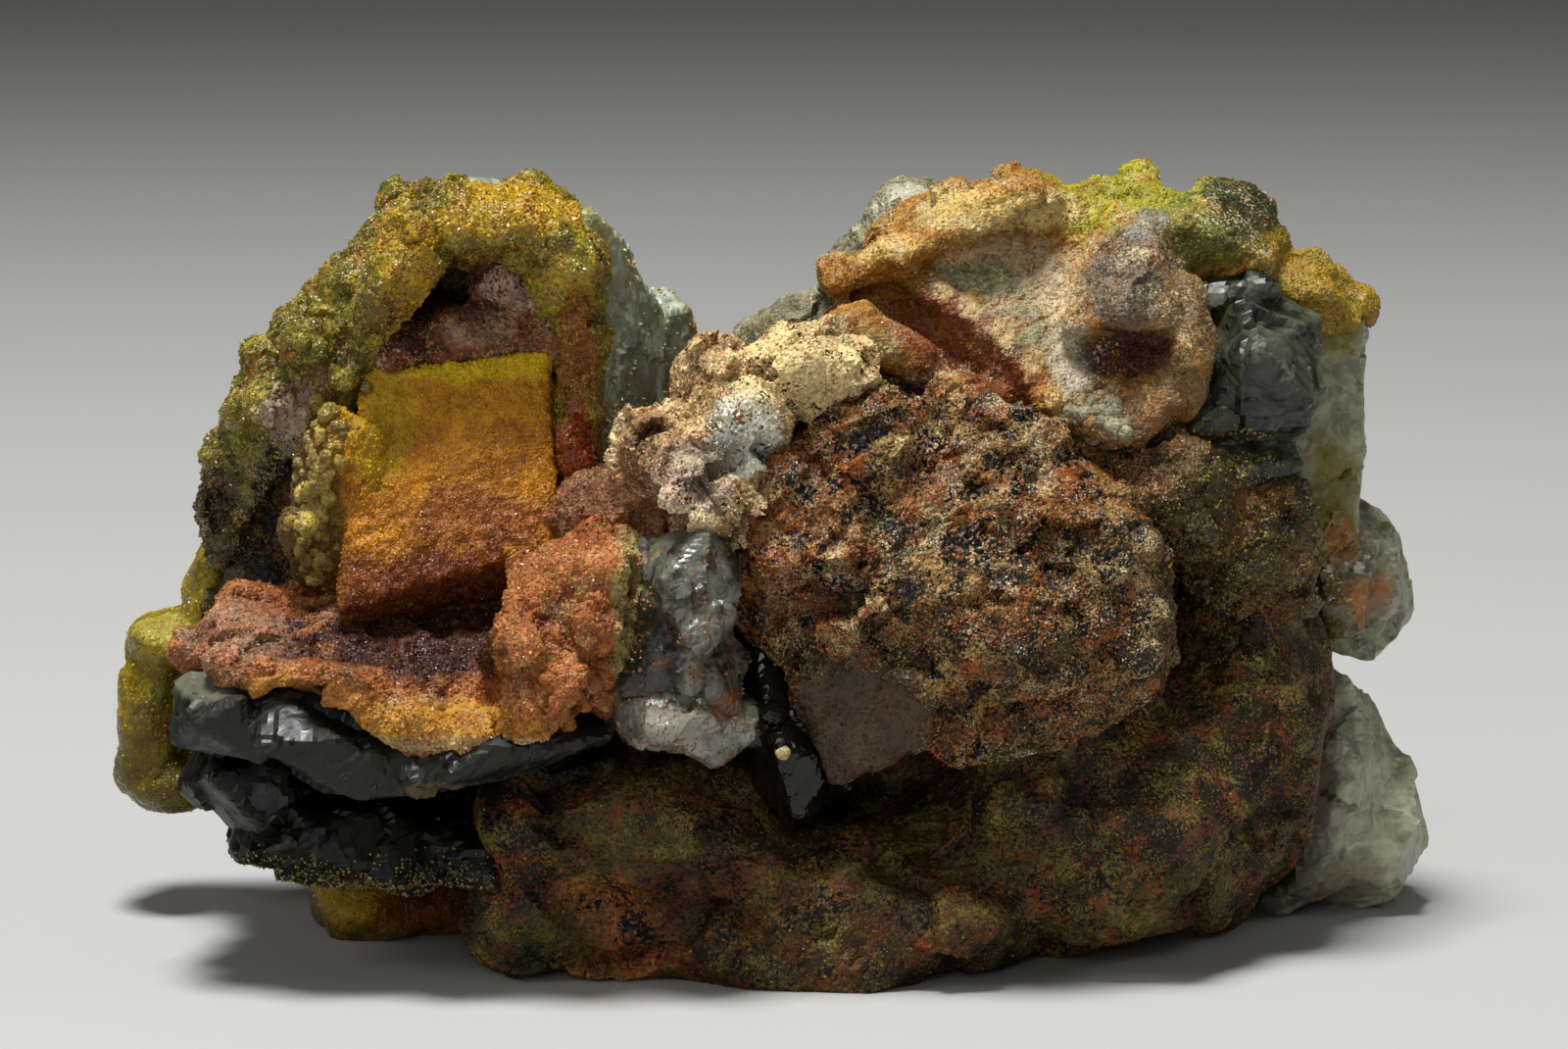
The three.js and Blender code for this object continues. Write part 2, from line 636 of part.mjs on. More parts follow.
// A three.js mesh of one fitted piece, with flat faces.
function meshOf({ name, finish, body }) {
  const { numProp, numVert, vertProperties, triVerts } = body.getMesh();
  const corners = new Float32Array(numVert * 3);
  for (let i = 0; i < numVert; i++) corners.set(vertProperties.subarray(i * numProp, i * numProp + 3), i * 3);
  const geometry = new THREE.BufferGeometry()
    .setAttribute("position", new THREE.BufferAttribute(corners, 3))
    .setIndex(new THREE.BufferAttribute(triVerts, 1));
  const mesh = new THREE.Mesh(
    geometry,
    new THREE.MeshStandardMaterial({ ...finish, metalness: 0, flatShading: true }),
  );
  mesh.name = name;
  return mesh;
}

// The whole specimen, moved so that the origin is the middle of its underside.
function specimen() {
  const group = new THREE.Group();
  group.add(...fitted(PIECES).map(meshOf));
  const box = new THREE.Box3().setFromObject(group);
  const middle = box.getCenter(new THREE.Vector3());
  group.position.set(-middle.x, -middle.y, -box.min.z);
  return group;
}

export default specimen();
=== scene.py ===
import math

import bmesh
import bpy
import numpy as np
from mathutils import Matrix, Vector
from mathutils.bvhtree import BVHTree


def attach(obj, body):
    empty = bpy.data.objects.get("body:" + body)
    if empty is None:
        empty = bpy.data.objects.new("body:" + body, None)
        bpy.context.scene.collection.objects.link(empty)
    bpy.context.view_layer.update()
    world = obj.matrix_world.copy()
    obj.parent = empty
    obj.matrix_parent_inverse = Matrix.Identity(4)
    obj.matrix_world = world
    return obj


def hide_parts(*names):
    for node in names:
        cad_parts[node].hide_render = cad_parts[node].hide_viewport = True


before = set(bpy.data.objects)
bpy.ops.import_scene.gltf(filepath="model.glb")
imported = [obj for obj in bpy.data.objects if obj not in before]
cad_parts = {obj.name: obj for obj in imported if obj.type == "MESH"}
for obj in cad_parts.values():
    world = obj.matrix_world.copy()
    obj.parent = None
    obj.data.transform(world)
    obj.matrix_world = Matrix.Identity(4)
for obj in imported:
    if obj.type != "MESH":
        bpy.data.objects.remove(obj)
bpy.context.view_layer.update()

# Camera: a long lens a little above the specimen's middle, square to its front.
MM = 0.001
CAMERA_TARGET = Vector((0.75, 0.0, 25.5))
CAMERA_DISTANCE = 330.0
CAMERA_ELEVATION = math.radians(8)
SENSOR_WIDTH = 36.0
LENS = 123.75


def put_in_scene(name, data):
    """A new object in the scene."""
    made = bpy.data.objects.new(name, data)
    bpy.context.scene.collection.objects.link(made)
    return made


lens = bpy.data.cameras.new("camera")
lens.sensor_width = SENSOR_WIDTH
lens.lens = LENS
lens.clip_start = 0.01
lens.clip_end = 20.0
camera = put_in_scene("camera", lens)
backwards = Vector((0, -math.cos(CAMERA_ELEVATION), math.sin(CAMERA_ELEVATION)))
camera.location = (CAMERA_TARGET + backwards * CAMERA_DISTANCE) * MM
camera.rotation_euler = (math.pi / 2 - CAMERA_ELEVATION, 0, 0)
bpy.context.scene.camera = camera

# Studio: a pale floor, a large soft light overhead and a little in front, weaker ones from
# the front, left and right, and a dim even surround, so that undersides fall dark.
FLOOR_SIZE = 6.0
FLOOR_COLOUR = (0.38, 0.38, 0.37, 1)
FLOOR_ROUGHNESS = 0.7
SURROUND_COLOUR = (1.0, 0.98, 0.95, 1)
SURROUND_STRENGTH = 0.08


def soft_light(name, place, size, power):
    """A square white area light in metres that faces the specimen's middle."""
    light = bpy.data.lights.new(name, "AREA")
    light.shape = "SQUARE"
    light.size = size
    light.energy = power
    lamp = put_in_scene(name, light)
    lamp.location = place
    aim = CAMERA_TARGET * MM - Vector(place)
    lamp.rotation_euler = aim.to_track_quat("-Z", "Y").to_euler()


soft_light("overhead_light", (-0.08, -0.11, 0.80), 0.20, 10.8)
soft_light("front_light", (-0.10, -0.70, 0.26), 0.30, 0.8)
soft_light("left_light", (-0.50, -0.30, 0.40), 0.20, 0.7)
soft_light("right_light", (0.60, -0.10, 0.36), 0.18, 0.4)

world = bpy.data.worlds.new("surround")
bpy.context.scene.world = world
world.use_nodes = True
background = world.node_tree.nodes["Background"]
background.inputs["Color"].default_value = SURROUND_COLOUR
background.inputs["Strength"].default_value = SURROUND_STRENGTH
bpy.context.scene.view_settings.view_transform = "Standard"


def new_material(name):
    """A material with its node tree and its Principled shader."""
    material = bpy.data.materials.new(name)
    material.use_nodes = True
    return material, material.node_tree, material.node_tree.nodes["Principled BSDF"]


half = FLOOR_SIZE / 2
floor_mesh = bpy.data.meshes.new("floor")
floor_corners = [(-half, -half, 0), (half, -half, 0), (half, half, 0), (-half, half, 0)]
floor_mesh.from_pydata(floor_corners, [], [(0, 1, 2, 3)])
floor = put_in_scene("floor", floor_mesh)
floor_paint, _, floor_shader = new_material("pale_floor")
floor_shader.inputs["Base Color"].default_value = FLOOR_COLOUR
floor_shader.inputs["Roughness"].default_value = FLOOR_ROUGHNESS
floor_mesh.materials.append(floor_paint)

# Rock: the brown quartz-rich body that carries everything. It broke in uneven faces, and
# iron stained it; a dust of ochre and rust grains lies over it. Two of its dark patches are
# painted shade: a black one in the crevice at the left and a dark red one under the block.
ROCK_DARK = "#1e1608"
ROCK_LIGHT = "#3e3012"


def linear(hex_colour):
    """A shader colour from an sRGB hex colour."""
    parts = [int(hex_colour[i : i + 2], 16) / 255 for i in (1, 3, 5)]
    return tuple(c / 12.92 if c <= 0.04045 else ((c + 0.055) / 1.055) ** 2.4 for c in parts) + (1.0,)


def chance(cell, salt):
    """A repeatable number from 0 to 1 for each row of whole numbers in cell."""
    c = cell.astype(np.int64)
    h = (c[..., 0] * 73856093) ^ (c[..., 1] * 19349663) ^ (c[..., 2] * 83492791) ^ (salt * 265443576)
    h = (h ^ (h >> 15)) * 739982445 & 0x7FFFFFFF
    h = (h ^ (h >> 12)) * 695872825 & 0x7FFFFFFF
    return ((h ^ (h >> 15)) & 0xFFFFFF) / 0x1000000


def swells(points, size, salt):
    """Smooth noise from -1 to 1 whose swells are about size apart."""
    p = points / size
    base = np.floor(p)
    f = p - base
    f = f * f * (3 - 2 * f)
    total = np.zeros(len(p))
    for corner in np.ndindex(2, 2, 2):
        weight = np.prod(np.where(np.array(corner) == 1, f, 1 - f), axis=1)
        total += weight * chance(base + corner, salt)
    return total * 2 - 1


def nearest_seed(points, size, salt):
    """For each point, the seed of the nearest cell of about size: its distance in cells,
    the way to it and its whole-number name."""
    p = points / size
    base = np.floor(p)
    best = np.full(len(p), 9.0)
    way = np.zeros_like(p)
    name = base.copy()
    for step in np.ndindex(3, 3, 3):
        cell = base + np.array(step) - 1
        seed = cell + np.stack([chance(cell, salt + k) for k in range(3)], axis=1)
        offset = p - seed
        far = np.sqrt((offset * offset).sum(axis=1))
        closer = far < best
        best[closer] = far[closer]
        way[closer] = offset[closer]
        name[closer] = cell[closer]
    return best, way, name


def knobs(points, size, salt):
    """Rounded bumps from 0 to 1, each of its own height, about size apart."""
    far, _, name = nearest_seed(points, size, salt)
    return np.clip(1 - far * far * 1.1, 0, 1) * (0.45 + 0.55 * chance(name, salt + 7))


def breaks(points, size, salt):
    """Flat broken facets from about -1 to 1: each cell is a plane with its own tilt."""
    _, way, name = nearest_seed(points, size, salt)
    tilt = np.stack([chance(name, salt + k) for k in (11, 12, 13)], axis=1) * 2 - 1
    return (way * tilt).sum(axis=1) * 1.2 + (chance(name, salt + 14) - 0.5) * 0.5


def read_points(mesh):
    flat = np.empty(len(mesh.vertices) * 3, np.float32)
    mesh.vertices.foreach_get("co", flat)
    return flat.reshape(-1, 3).astype(np.float64)


def read_normals(mesh):
    flat = np.empty(len(mesh.vertices) * 3, np.float32)
    mesh.vertex_normals.foreach_get("vector", flat)
    return flat.reshape(-1, 3).astype(np.float64)


def write_points(mesh, points):
    mesh.vertices.foreach_set("co", points.astype(np.float32).ravel())
    mesh.update()


def even_mesh(mesh, voxel):
    """The surface of a closed mesh again, in small even faces."""
    holder = put_in_scene("holder", mesh)
    even = holder.modifiers.new("even", "REMESH")
    even.mode = "VOXEL"
    even.voxel_size = voxel
    made = bpy.data.meshes.new_from_object(holder.evaluated_get(bpy.context.evaluated_depsgraph_get()))
    bpy.data.objects.remove(holder)
    return made


KEPT_SHARE = 0.4


def smooth(mesh, rounds):
    """Draws each point toward the middle of its neighbours; it keeps a share of its place."""
    points = read_points(mesh)
    ends = np.empty(len(mesh.edges) * 2, np.int64)
    mesh.edges.foreach_get("vertices", ends)
    a, b = ends.reshape(-1, 2).T
    count = np.bincount(ends, minlength=len(points))[:, None]
    for _ in range(rounds):
        total = np.zeros_like(points)
        for k in range(3):
            total[:, k] = np.bincount(a, points[b, k], len(points))
            total[:, k] += np.bincount(b, points[a, k], len(points))
        points = points * KEPT_SHARE + total / count * (1 - KEPT_SHARE)
    write_points(mesh, points)


def swell_by(mesh, amount):
    """Moves the whole surface outward, or inward where amount is below 0."""
    write_points(mesh, read_points(mesh) + read_normals(mesh) * amount)


def fine_skin(node, voxel, rounds, swell, fill=0.0):
    """An evenly meshed copy of a CAD node's solid, in millimetres, smoothed by rounds and
    swollen to close its clearance to its neighbours. Creases narrower than fill are
    filled: the surface is swollen by it, meshed again and drawn back."""
    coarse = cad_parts[node].data.copy()
    coarse.transform(Matrix.Scale(1 / MM, 4))
    mesh = even_mesh(coarse, voxel)
    if fill:
        swell_by(mesh, fill)
        mesh = even_mesh(mesh, voxel)
        smooth(mesh, 1)
    smooth(mesh, rounds)
    swell_by(mesh, swell - fill)
    return mesh


def keep_flat_base(points):
    """Nothing reaches below the cut underside."""
    points[:, 2] = np.maximum(points[:, 2], 0.0)
    return points


def raise_by(mesh, rise):
    """Moves each point outward by its own rise."""
    write_points(mesh, keep_flat_base(read_points(mesh) + read_normals(mesh) * rise[:, None]))


def set_relief(mesh, values):
    """Stores how high each point stands, from 0 in a pit to 1 on a tip."""
    relief = mesh.attributes.new("relief", "FLOAT", "POINT")
    relief.data.foreach_set("value", np.clip(values, 0, 1).astype(np.float32))


def finished(name, mesh, material, slot, *nodes):
    """A piece of the specimen from a mesh in millimetres: it rides on the root body and
    stands for the given CAD nodes."""
    mesh.transform(Matrix.Scale(MM, 4))
    mesh.name = name
    mesh.materials.clear()
    mesh.materials.append(material)
    piece = put_in_scene(name, mesh)
    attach(piece, "root")
    if nodes:
        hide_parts(*nodes)


def group_of(name, inputs, outputs):
    """An empty node group with named sockets, and its input and output nodes."""
    group = bpy.data.node_groups.new(name, "ShaderNodeTree")
    for socket, kind, value in inputs:
        made = group.interface.new_socket(socket, in_out="INPUT", socket_type="NodeSocket" + kind)
        made.default_value = value
    for socket, kind in outputs:
        group.interface.new_socket(socket, in_out="OUTPUT", socket_type="NodeSocket" + kind)
    return group, group.nodes.new("NodeGroupInput"), group.nodes.new("NodeGroupOutput")


def node(tree, kind, settings=None, **inputs):
    """A shader node with its settings and inputs: a value, a colour or another socket."""
    made = tree.nodes.new("ShaderNode" + kind)
    for key, value in (settings or {}).items():
        setattr(made, key, value)
    for key, value in inputs.items():
        socket = made.inputs[int(key[1:])] if key[0] == "_" else made.inputs[key.replace("_", " ")]
        if isinstance(value, bpy.types.NodeSocket):
            tree.links.new(value, socket)
        else:
            socket.default_value = value
    return made


def math_node(tree, operation, a, b=0.0, clamp=False):
    return node(tree, "Math", {"operation": operation, "use_clamp": clamp}, _0=a, _1=b).outputs[0]


def vector_math(tree, operation, a, b=(0, 0, 0)):
    made = node(tree, "VectorMath", {"operation": operation}, _0=a, _1=b)
    return made.outputs["Value"] if operation in ("LENGTH", "DOT_PRODUCT") else made.outputs["Vector"]


def noise(tree, place, scale, detail, roughness=0.5, distortion=0.0):
    """Cloudy noise from 0 to 1."""
    made = node(tree, "TexNoise", Vector=place, Scale=scale, Detail=detail, Roughness=roughness)
    made.inputs["Distortion"].default_value = distortion
    return made.outputs["Fac"]


def ranged(tree, value, low, high, to_low=0.0, to_high=1.0, way="LINEAR"):
    """A value carried from the range low to high into another, and kept inside that."""
    ends = {"From_Min": low, "From_Max": high, "To_Min": to_low, "To_Max": to_high}
    return node(tree, "MapRange", {"interpolation_type": way}, Value=value, **ends).outputs["Result"]


def grouped(tree, group, **inputs):
    """A node that runs a shared node group."""
    return node(tree, "Group", {"node_tree": group}, **inputs)


def place_in_mm(tree):
    """The surface's place on the specimen, in millimetres."""
    return vector_math(tree, "MULTIPLY", node(tree, "NewGeometry").outputs["Position"], (1 / MM,) * 3)


# A ragged patch round a place, used for stains and for painted shade: its mask is 1 inside and 0 outside.
stain_and_shade_group, stain_and_shade_in, stain_and_shade_out = group_of(
    "stain",
    [
        ("Place", "Vector", (0, 0, 0)),
        ("Reach", "Vector", (1, 1, 1)),
        ("Ragged", "Float", 0.5),
        ("Softness", "Float", 0.25),
        ("Grain", "Float", 0.6),
    ],
    [("Mask", "Float")],
)
spot = place_in_mm(stain_and_shade_group)
away = vector_math(stain_and_shade_group, "SUBTRACT", spot, stain_and_shade_in.outputs["Place"])
away = vector_math(stain_and_shade_group, "DIVIDE", away, stain_and_shade_in.outputs["Reach"])
ragged = noise(stain_and_shade_group, spot, stain_and_shade_in.outputs["Grain"], 5.0, 0.65)
shift = math_node(stain_and_shade_group, "SUBTRACT", ragged, 0.5)
shift = math_node(stain_and_shade_group, "MULTIPLY", shift, stain_and_shade_in.outputs["Ragged"])
shift = math_node(stain_and_shade_group, "MULTIPLY", shift, 3.0)
distance = math_node(stain_and_shade_group, "ADD", vector_math(stain_and_shade_group, "LENGTH", away), shift)
inner = math_node(stain_and_shade_group, "SUBTRACT", 1.0, stain_and_shade_in.outputs["Softness"])
outer = math_node(stain_and_shade_group, "ADD", 1.0, stain_and_shade_in.outputs["Softness"])
inside = ranged(stain_and_shade_group, distance, inner, outer, 1.0, 0.0, "SMOOTHSTEP")
stain_and_shade_group.links.new(inside, stain_and_shade_out.inputs["Mask"])

# Grit gives fine grains: a value for each grain, and a normal that tilts each grain its
# own way, so that a crust sparkles.
grit_group, grit_in, grit_out = group_of(
    "grit",
    [("Size", "Float", 0.25), ("Tilt", "Float", 0.5)],
    [("Value", "Float"), ("Height", "Float"), ("Normal", "Vector")],
)
grit_scale = math_node(grit_group, "DIVIDE", 1.0, grit_in.outputs["Size"])
grit_cells = node(grit_group, "TexVoronoi", Vector=place_in_mm(grit_group), Scale=grit_scale)
lean = vector_math(grit_group, "SUBTRACT", grit_cells.outputs["Color"], (0.5, 0.5, 0.5))
scaled = node(grit_group, "VectorMath", {"operation": "SCALE"}, _0=lean, Scale=grit_in.outputs["Tilt"])
tilted = vector_math(grit_group, "ADD", node(grit_group, "NewGeometry").outputs["Normal"], scaled.outputs[0])
tilted = vector_math(grit_group, "NORMALIZE", tilted)
grit_value = node(grit_group, "SeparateColor", Color=grit_cells.outputs["Color"]).outputs[0]
grit_group.links.new(grit_value, grit_out.inputs["Value"])
grit_height = math_node(grit_group, "SUBTRACT", 1.0, grit_cells.outputs["Distance"])
grit_group.links.new(grit_height, grit_out.inputs["Height"])
grit_group.links.new(tilted, grit_out.inputs["Normal"])


# Dust is a sprinkling of fine specks that gather in drifts: its mask is 1 on a speck. A
# speck shows where fine noise and the drift together pass a level, which Amount lowers.
DRIFT_PULL = 0.9
AMOUNT_PULL = 0.38
BARE_LEVEL = 1.12
SPECK_EDGE = 0.04
dust_group, dust_in, dust_out = group_of(
    "dust",
    [
        ("Size", "Float", 0.3),
        ("Drift", "Float", 2.0),
        ("Amount", "Float", 0.5),
        ("Shift", "Vector", (0, 0, 0)),
    ],
    [("Mask", "Float")],
)
dust_spot = vector_math(dust_group, "ADD", place_in_mm(dust_group), dust_in.outputs["Shift"])
speck_scale = math_node(dust_group, "DIVIDE", 1.0, dust_in.outputs["Size"])
drift_scale = math_node(dust_group, "DIVIDE", 1.0, dust_in.outputs["Drift"])
speck = noise(dust_group, dust_spot, speck_scale, 2.0, 0.6)
drift = noise(dust_group, dust_spot, drift_scale, 3.0)
level = math_node(dust_group, "ADD", speck, math_node(dust_group, "MULTIPLY", drift, DRIFT_PULL))
thinned = math_node(dust_group, "MULTIPLY", dust_in.outputs["Amount"], AMOUNT_PULL)
speck_floor = math_node(dust_group, "SUBTRACT", BARE_LEVEL, thinned)
speck_full = math_node(dust_group, "ADD", speck_floor, SPECK_EDGE)
dust_mask = ranged(dust_group, level, speck_floor, speck_full, way="SMOOTHSTEP")
dust_group.links.new(dust_mask, dust_out.inputs["Mask"])


def mixed(tree, mask, below, above):
    """Colour above laid over colour below through a mask."""
    return node(tree, "Mix", {"data_type": "RGBA"}, _0=mask, _6=below, _7=above).outputs[2]


def stained_and_shaded(tree, colour, stain_and_shade_patches):
    """Ragged patches over a colour, each as (colour, place, reach, strength): most give the thing's own
    colour, and some give painted shade.
    """
    for hue, place, reach, strength in stain_and_shade_patches:
        mask = grouped(tree, stain_and_shade_group, Place=place, Reach=reach).outputs["Mask"]
        colour = mixed(tree, math_node(tree, "MULTIPLY", mask, strength), colour, linear(hue))
    return colour


def dusted(tree, colour, dusts, bare=()):
    """Specks over a colour, each as (colour, speck size, drift size, amount). Few lie on a
    bare patch, which is (place, reach, share kept clear)."""
    open_share = 1.0
    for place, reach, share in bare:
        patch = grouped(tree, stain_and_shade_group, Place=place, Reach=reach, Ragged=0.3)
        clear = math_node(tree, "SUBTRACT", 1.0, math_node(tree, "MULTIPLY", patch.outputs["Mask"], share))
        open_share = math_node(tree, "MULTIPLY", open_share, clear)
    for i, (hue, size, drift_size, amount) in enumerate(dusts):
        shift = (i * 17.3, i * 5.1, i * 9.7)
        inputs = {"Size": size, "Drift": drift_size, "Amount": amount, "Shift": shift}
        mask = grouped(tree, dust_group, **inputs).outputs["Mask"]
        colour = mixed(tree, math_node(tree, "MULTIPLY", mask, open_share), colour, linear(hue))
    return colour


CLOUD_PULL = 2.2
PIT_LEVEL = 1.6


def mineral(
    name, pit, tip, stain_and_shade_patches=(), dusts=(), grain=0.2, roughness=0.55, mottle=0.5, vary=0.35,
    shine=0.25, loose=False, bare=(),
):
    """A material for crust or rock: colour pit in the hollows and tip on the heights, the pit
    colour partly painted shade, then ragged patches of colour and of painted shade, and dust,
    with grains that differ and sparkle. The hollows are darkened further as painted shade. On
    loose grains, which are mesh, each grain has one value."""
    material, tree, shader = new_material(name)
    shader.inputs["Specular IOR Level"].default_value = shine
    relief = node(tree, "Attribute", {"attribute_name": "relief"}).outputs["Fac"]
    cloud = noise(tree, place_in_mm(tree), mottle, 7.0, 0.65)
    # Hollows take the darker pit colour, partly as painted shade.
    height = math_node(tree, "SUBTRACT", relief, PIT_LEVEL)
    height = math_node(tree, "ADD", math_node(tree, "MULTIPLY", cloud, CLOUD_PULL), height)
    colour = mixed(tree, math_node(tree, "ADD", height, 0.5, clamp=True), linear(pit), linear(tip))
    colour = dusted(tree, stained_and_shaded(tree, colour, stain_and_shade_patches), dusts, bare)
    grit = grouped(tree, grit_group, Size=grain, Tilt=0.7)
    one = node(tree, "NewGeometry").outputs["Random Per Island"] if loose else grit.outputs["Value"]
    shade = ranged(tree, one, 0.0, 1.0, 1 - vary, 1 + vary * 0.8)
    patch = ranged(tree, cloud, 0.3, 0.7, 0.75, 1.2)
    # Painted shade: hollows are darkened down to about a third of their value.
    painted_hollow_shade = ranged(tree, relief, 0.0, 0.6, 0.35, 1.0)
    value = math_node(tree, "MULTIPLY", math_node(tree, "MULTIPLY", shade, painted_hollow_shade), patch)
    shaded = node(tree, "HueSaturation", Value=value, Color=colour).outputs["Color"]
    tree.links.new(shaded, shader.inputs["Base Color"])
    gloss = ranged(tree, grit.outputs["Value"], 0.0, 1.0, roughness - 0.25, roughness + 0.15)
    tree.links.new(gloss, shader.inputs["Roughness"])
    if not loose:
        bump = node(tree, "Bump", Strength=0.6, Distance=grain * MM * 0.6, Height=grit.outputs["Height"])
        tree.links.new(grit.outputs["Normal"], bump.inputs["Normal"])
        tree.links.new(bump.outputs["Normal"], shader.inputs["Normal"])
    return material


def search_tree(names):
    """The named CAD solids in one search tree, in millimetres."""
    corners = []
    faces = []
    for name in names:
        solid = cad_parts[name]
        start = len(corners)
        corners.extend(v.co / MM for v in solid.data.vertices)
        faces.extend(tuple(start + i for i in polygon.vertices) for polygon in solid.data.polygons)
    return BVHTree.FromPolygons(corners, faces)


SOLIDS = search_tree(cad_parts)
COVERED_WITHIN = 1.6
OVERSUPPLY = 1.9
BACK_SHARE = 0.25
GRAIN_LEAN = 0.45
GRAIN_LENGTH = 1.4
GRAIN_SINK = 0.2
MOSTLY_SMALL = 2.2


def grains(host, count, radius, salt, density=None):
    """Small pointed crystals strewn over a host mesh, joined in one mesh. radius is the
    smallest and largest, density gives from 0 to 1 where they grow, fewer grow on the back,
    and those that a neighbouring piece covers are left out."""
    draw = np.random.default_rng(salt)
    host.calc_loop_triangles()
    corners = np.empty(len(host.loop_triangles) * 3, np.int64)
    host.loop_triangles.foreach_get("vertices", corners)
    triangles = read_points(host)[corners.reshape(-1, 3)]
    cross = np.cross(triangles[:, 1] - triangles[:, 0], triangles[:, 2] - triangles[:, 0])
    area = np.linalg.norm(cross, axis=1) + 1e-12
    normal = cross / area[:, None]
    weight = area * np.where(normal[:, 1] < 0.3, 1.0, BACK_SHARE)
    if density is not None:
        weight = weight * np.clip(density(triangles.mean(axis=1), normal), 0, 1)
    tries = round(count * OVERSUPPLY)
    chosen = draw.choice(len(triangles), tries, p=weight / weight.sum())
    u, v = draw.random((2, tries))
    u, v = np.where(u + v > 1, 1 - u, u), np.where(u + v > 1, 1 - v, v)
    sides = triangles[chosen, 1:] - triangles[chosen, :1]
    places = triangles[chosen, 0] + u[:, None] * sides[:, 0] + v[:, None] * sides[:, 1]
    normals = normal[chosen]
    free = [
        SOLIDS.ray_cast(Vector(place + way * 0.3), Vector(way), COVERED_WITHIN)[0] is None
        for place, way in zip(places, normals)
    ]
    places, normals = places[free][:count], normals[free][:count]
    count = len(places)
    axis = normals + draw.normal(0, GRAIN_LEAN, (count, 3))
    axis /= np.linalg.norm(axis, axis=1)[:, None]
    side = np.cross(axis, draw.normal(0, 1, (count, 3)))
    side /= np.linalg.norm(side, axis=1)[:, None]
    other = np.cross(axis, side)
    small, large = radius
    size = (small + (large - small) * draw.random(count) ** MOSTLY_SMALL)[:, None]
    width = size * (0.7 + 0.4 * draw.random((count, 1)))
    tips = [axis * size * GRAIN_LENGTH, side * width, other * width, -side * width, -other * width]
    points = places[:, None, :] - normals[:, None, :] * size[:, None] * GRAIN_SINK
    points = points + np.stack(tips, axis=1)
    one = np.array([(0, 1, 2), (0, 2, 3), (0, 3, 4), (0, 4, 1), (1, 4, 3), (1, 3, 2)])
    faces = (np.arange(count)[:, None, None] * 5 + one).reshape(-1, 3)
    points = points.reshape(-1, 3)
    mesh = bpy.data.meshes.new("grains")
    mesh.from_pydata(keep_flat_base(points), [], faces)
    set_relief(mesh, np.repeat(0.45 + 0.55 * draw.random(count), 5))
    return mesh


ROCK_STAINS_AND_SHADE = (
    ("#5c4c20", (-8.0, -15.0, 9.6), (5.0, 8.0, 3.2), 0.65),
    ("#84421a", (-8.6, -16.0, 1.6), (3.4, 8.0, 1.6), 0.75),
    ("#84421a", (-4.0, -16.0, 6.2), (3.6, 8.0, 1.5), 0.75),
    ("#84421a", (1.6, -17.0, 10.8), (3.6, 8.0, 1.4), 0.75),
    ("#6a5620", (8.0, -17.0, 7.0), (7.0, 8.0, 3.6), 0.5),
    ("#2b2104", (26.5, -8.0, 19.0), (9.0, 12.0, 13.0), 0.8),
    ("#1a1302", (25.0, -10.0, 9.0), (8.0, 8.0, 4.6), 0.75),
    ("#a4602a", (-9.6, -15.0, 2.6), (4.0, 6.0, 4.4), 0.9),
    ("#544c1e", (24.0, -12.0, 3.0), (8.0, 8.0, 3.4), 0.6),
    ("#4c3010", (4.0, -16.0, 5.0), (12.0, 6.0, 3.0), 0.5),
    ("#14130b", (-15.6, -14.0, 8.4), (2.6, 6.0, 4.4), 0.9),
    ("#3c3c20", (-14.0, -12.0, 3.0), (3.6, 6.0, 2.6), 0.85),
    ("#120902", (-1.0, -16.0, 10.5), (7.0, 6.0, 1.2), 0.9),
    # painted shade: the crevice at the left, nearly black
    ("#0e0602", (-31.0, -8.0, 24.0), (4.0, 8.0, 7.0), 0.95),
    ("#3c2c08", (-33.0, -2.0, 28.0), (3.0, 6.0, 3.0), 0.6),
    # painted shade under the block, in the dish's dark red-brown
    ("#3a0f04", (-20.0, -8.0, 21.0), (8.0, 6.0, 3.0), 0.9),
    ("#4a3c10", (0.0, 20.0, 24.0), (16.0, 8.0, 7.0), 0.6),
    ("#5a3814", (-22.0, 16.0, 18.0), (10.0, 8.0, 8.0), 0.6),
)
ROCK_DUSTS = (("#665822", 0.16, 2.0, 0.36), ("#6a3210", 0.20, 1.8, 0.22), ("#120c05", 0.26, 2.4, 0.16))
BEDDED = (
    "speckled_boulder", "middle_lumps", "bowl_crust", "saddle_druse", "pink_hollow_druse",
    "left_hump_crust", "right_hump_crust", "back_crag",
)
BED_DEPTH = 0.7
BED_MARGIN = 0.9
BED_FADE = 1.2
GAP_REACH = 0.8


def rock_bed():
    """The rock with what lies on it in one mesh, each crust shrunk by the bed's depth. It
    is swollen, joined and drawn back, which fills the narrow gaps between the pieces."""
    together = bmesh.new()
    together.from_mesh(fine_skin("matrix_rock", 0.5, 1, 0.1))
    for solid in BEDDED:
        together.from_mesh(fine_skin(solid, 0.5, 1, -BED_DEPTH))
    joined = bpy.data.meshes.new("joined")
    together.to_mesh(joined)
    together.free()
    swell_by(joined, GAP_REACH)
    mesh = even_mesh(joined, 0.6)
    smooth(mesh, 2)
    swell_by(mesh, -GAP_REACH)
    return mesh


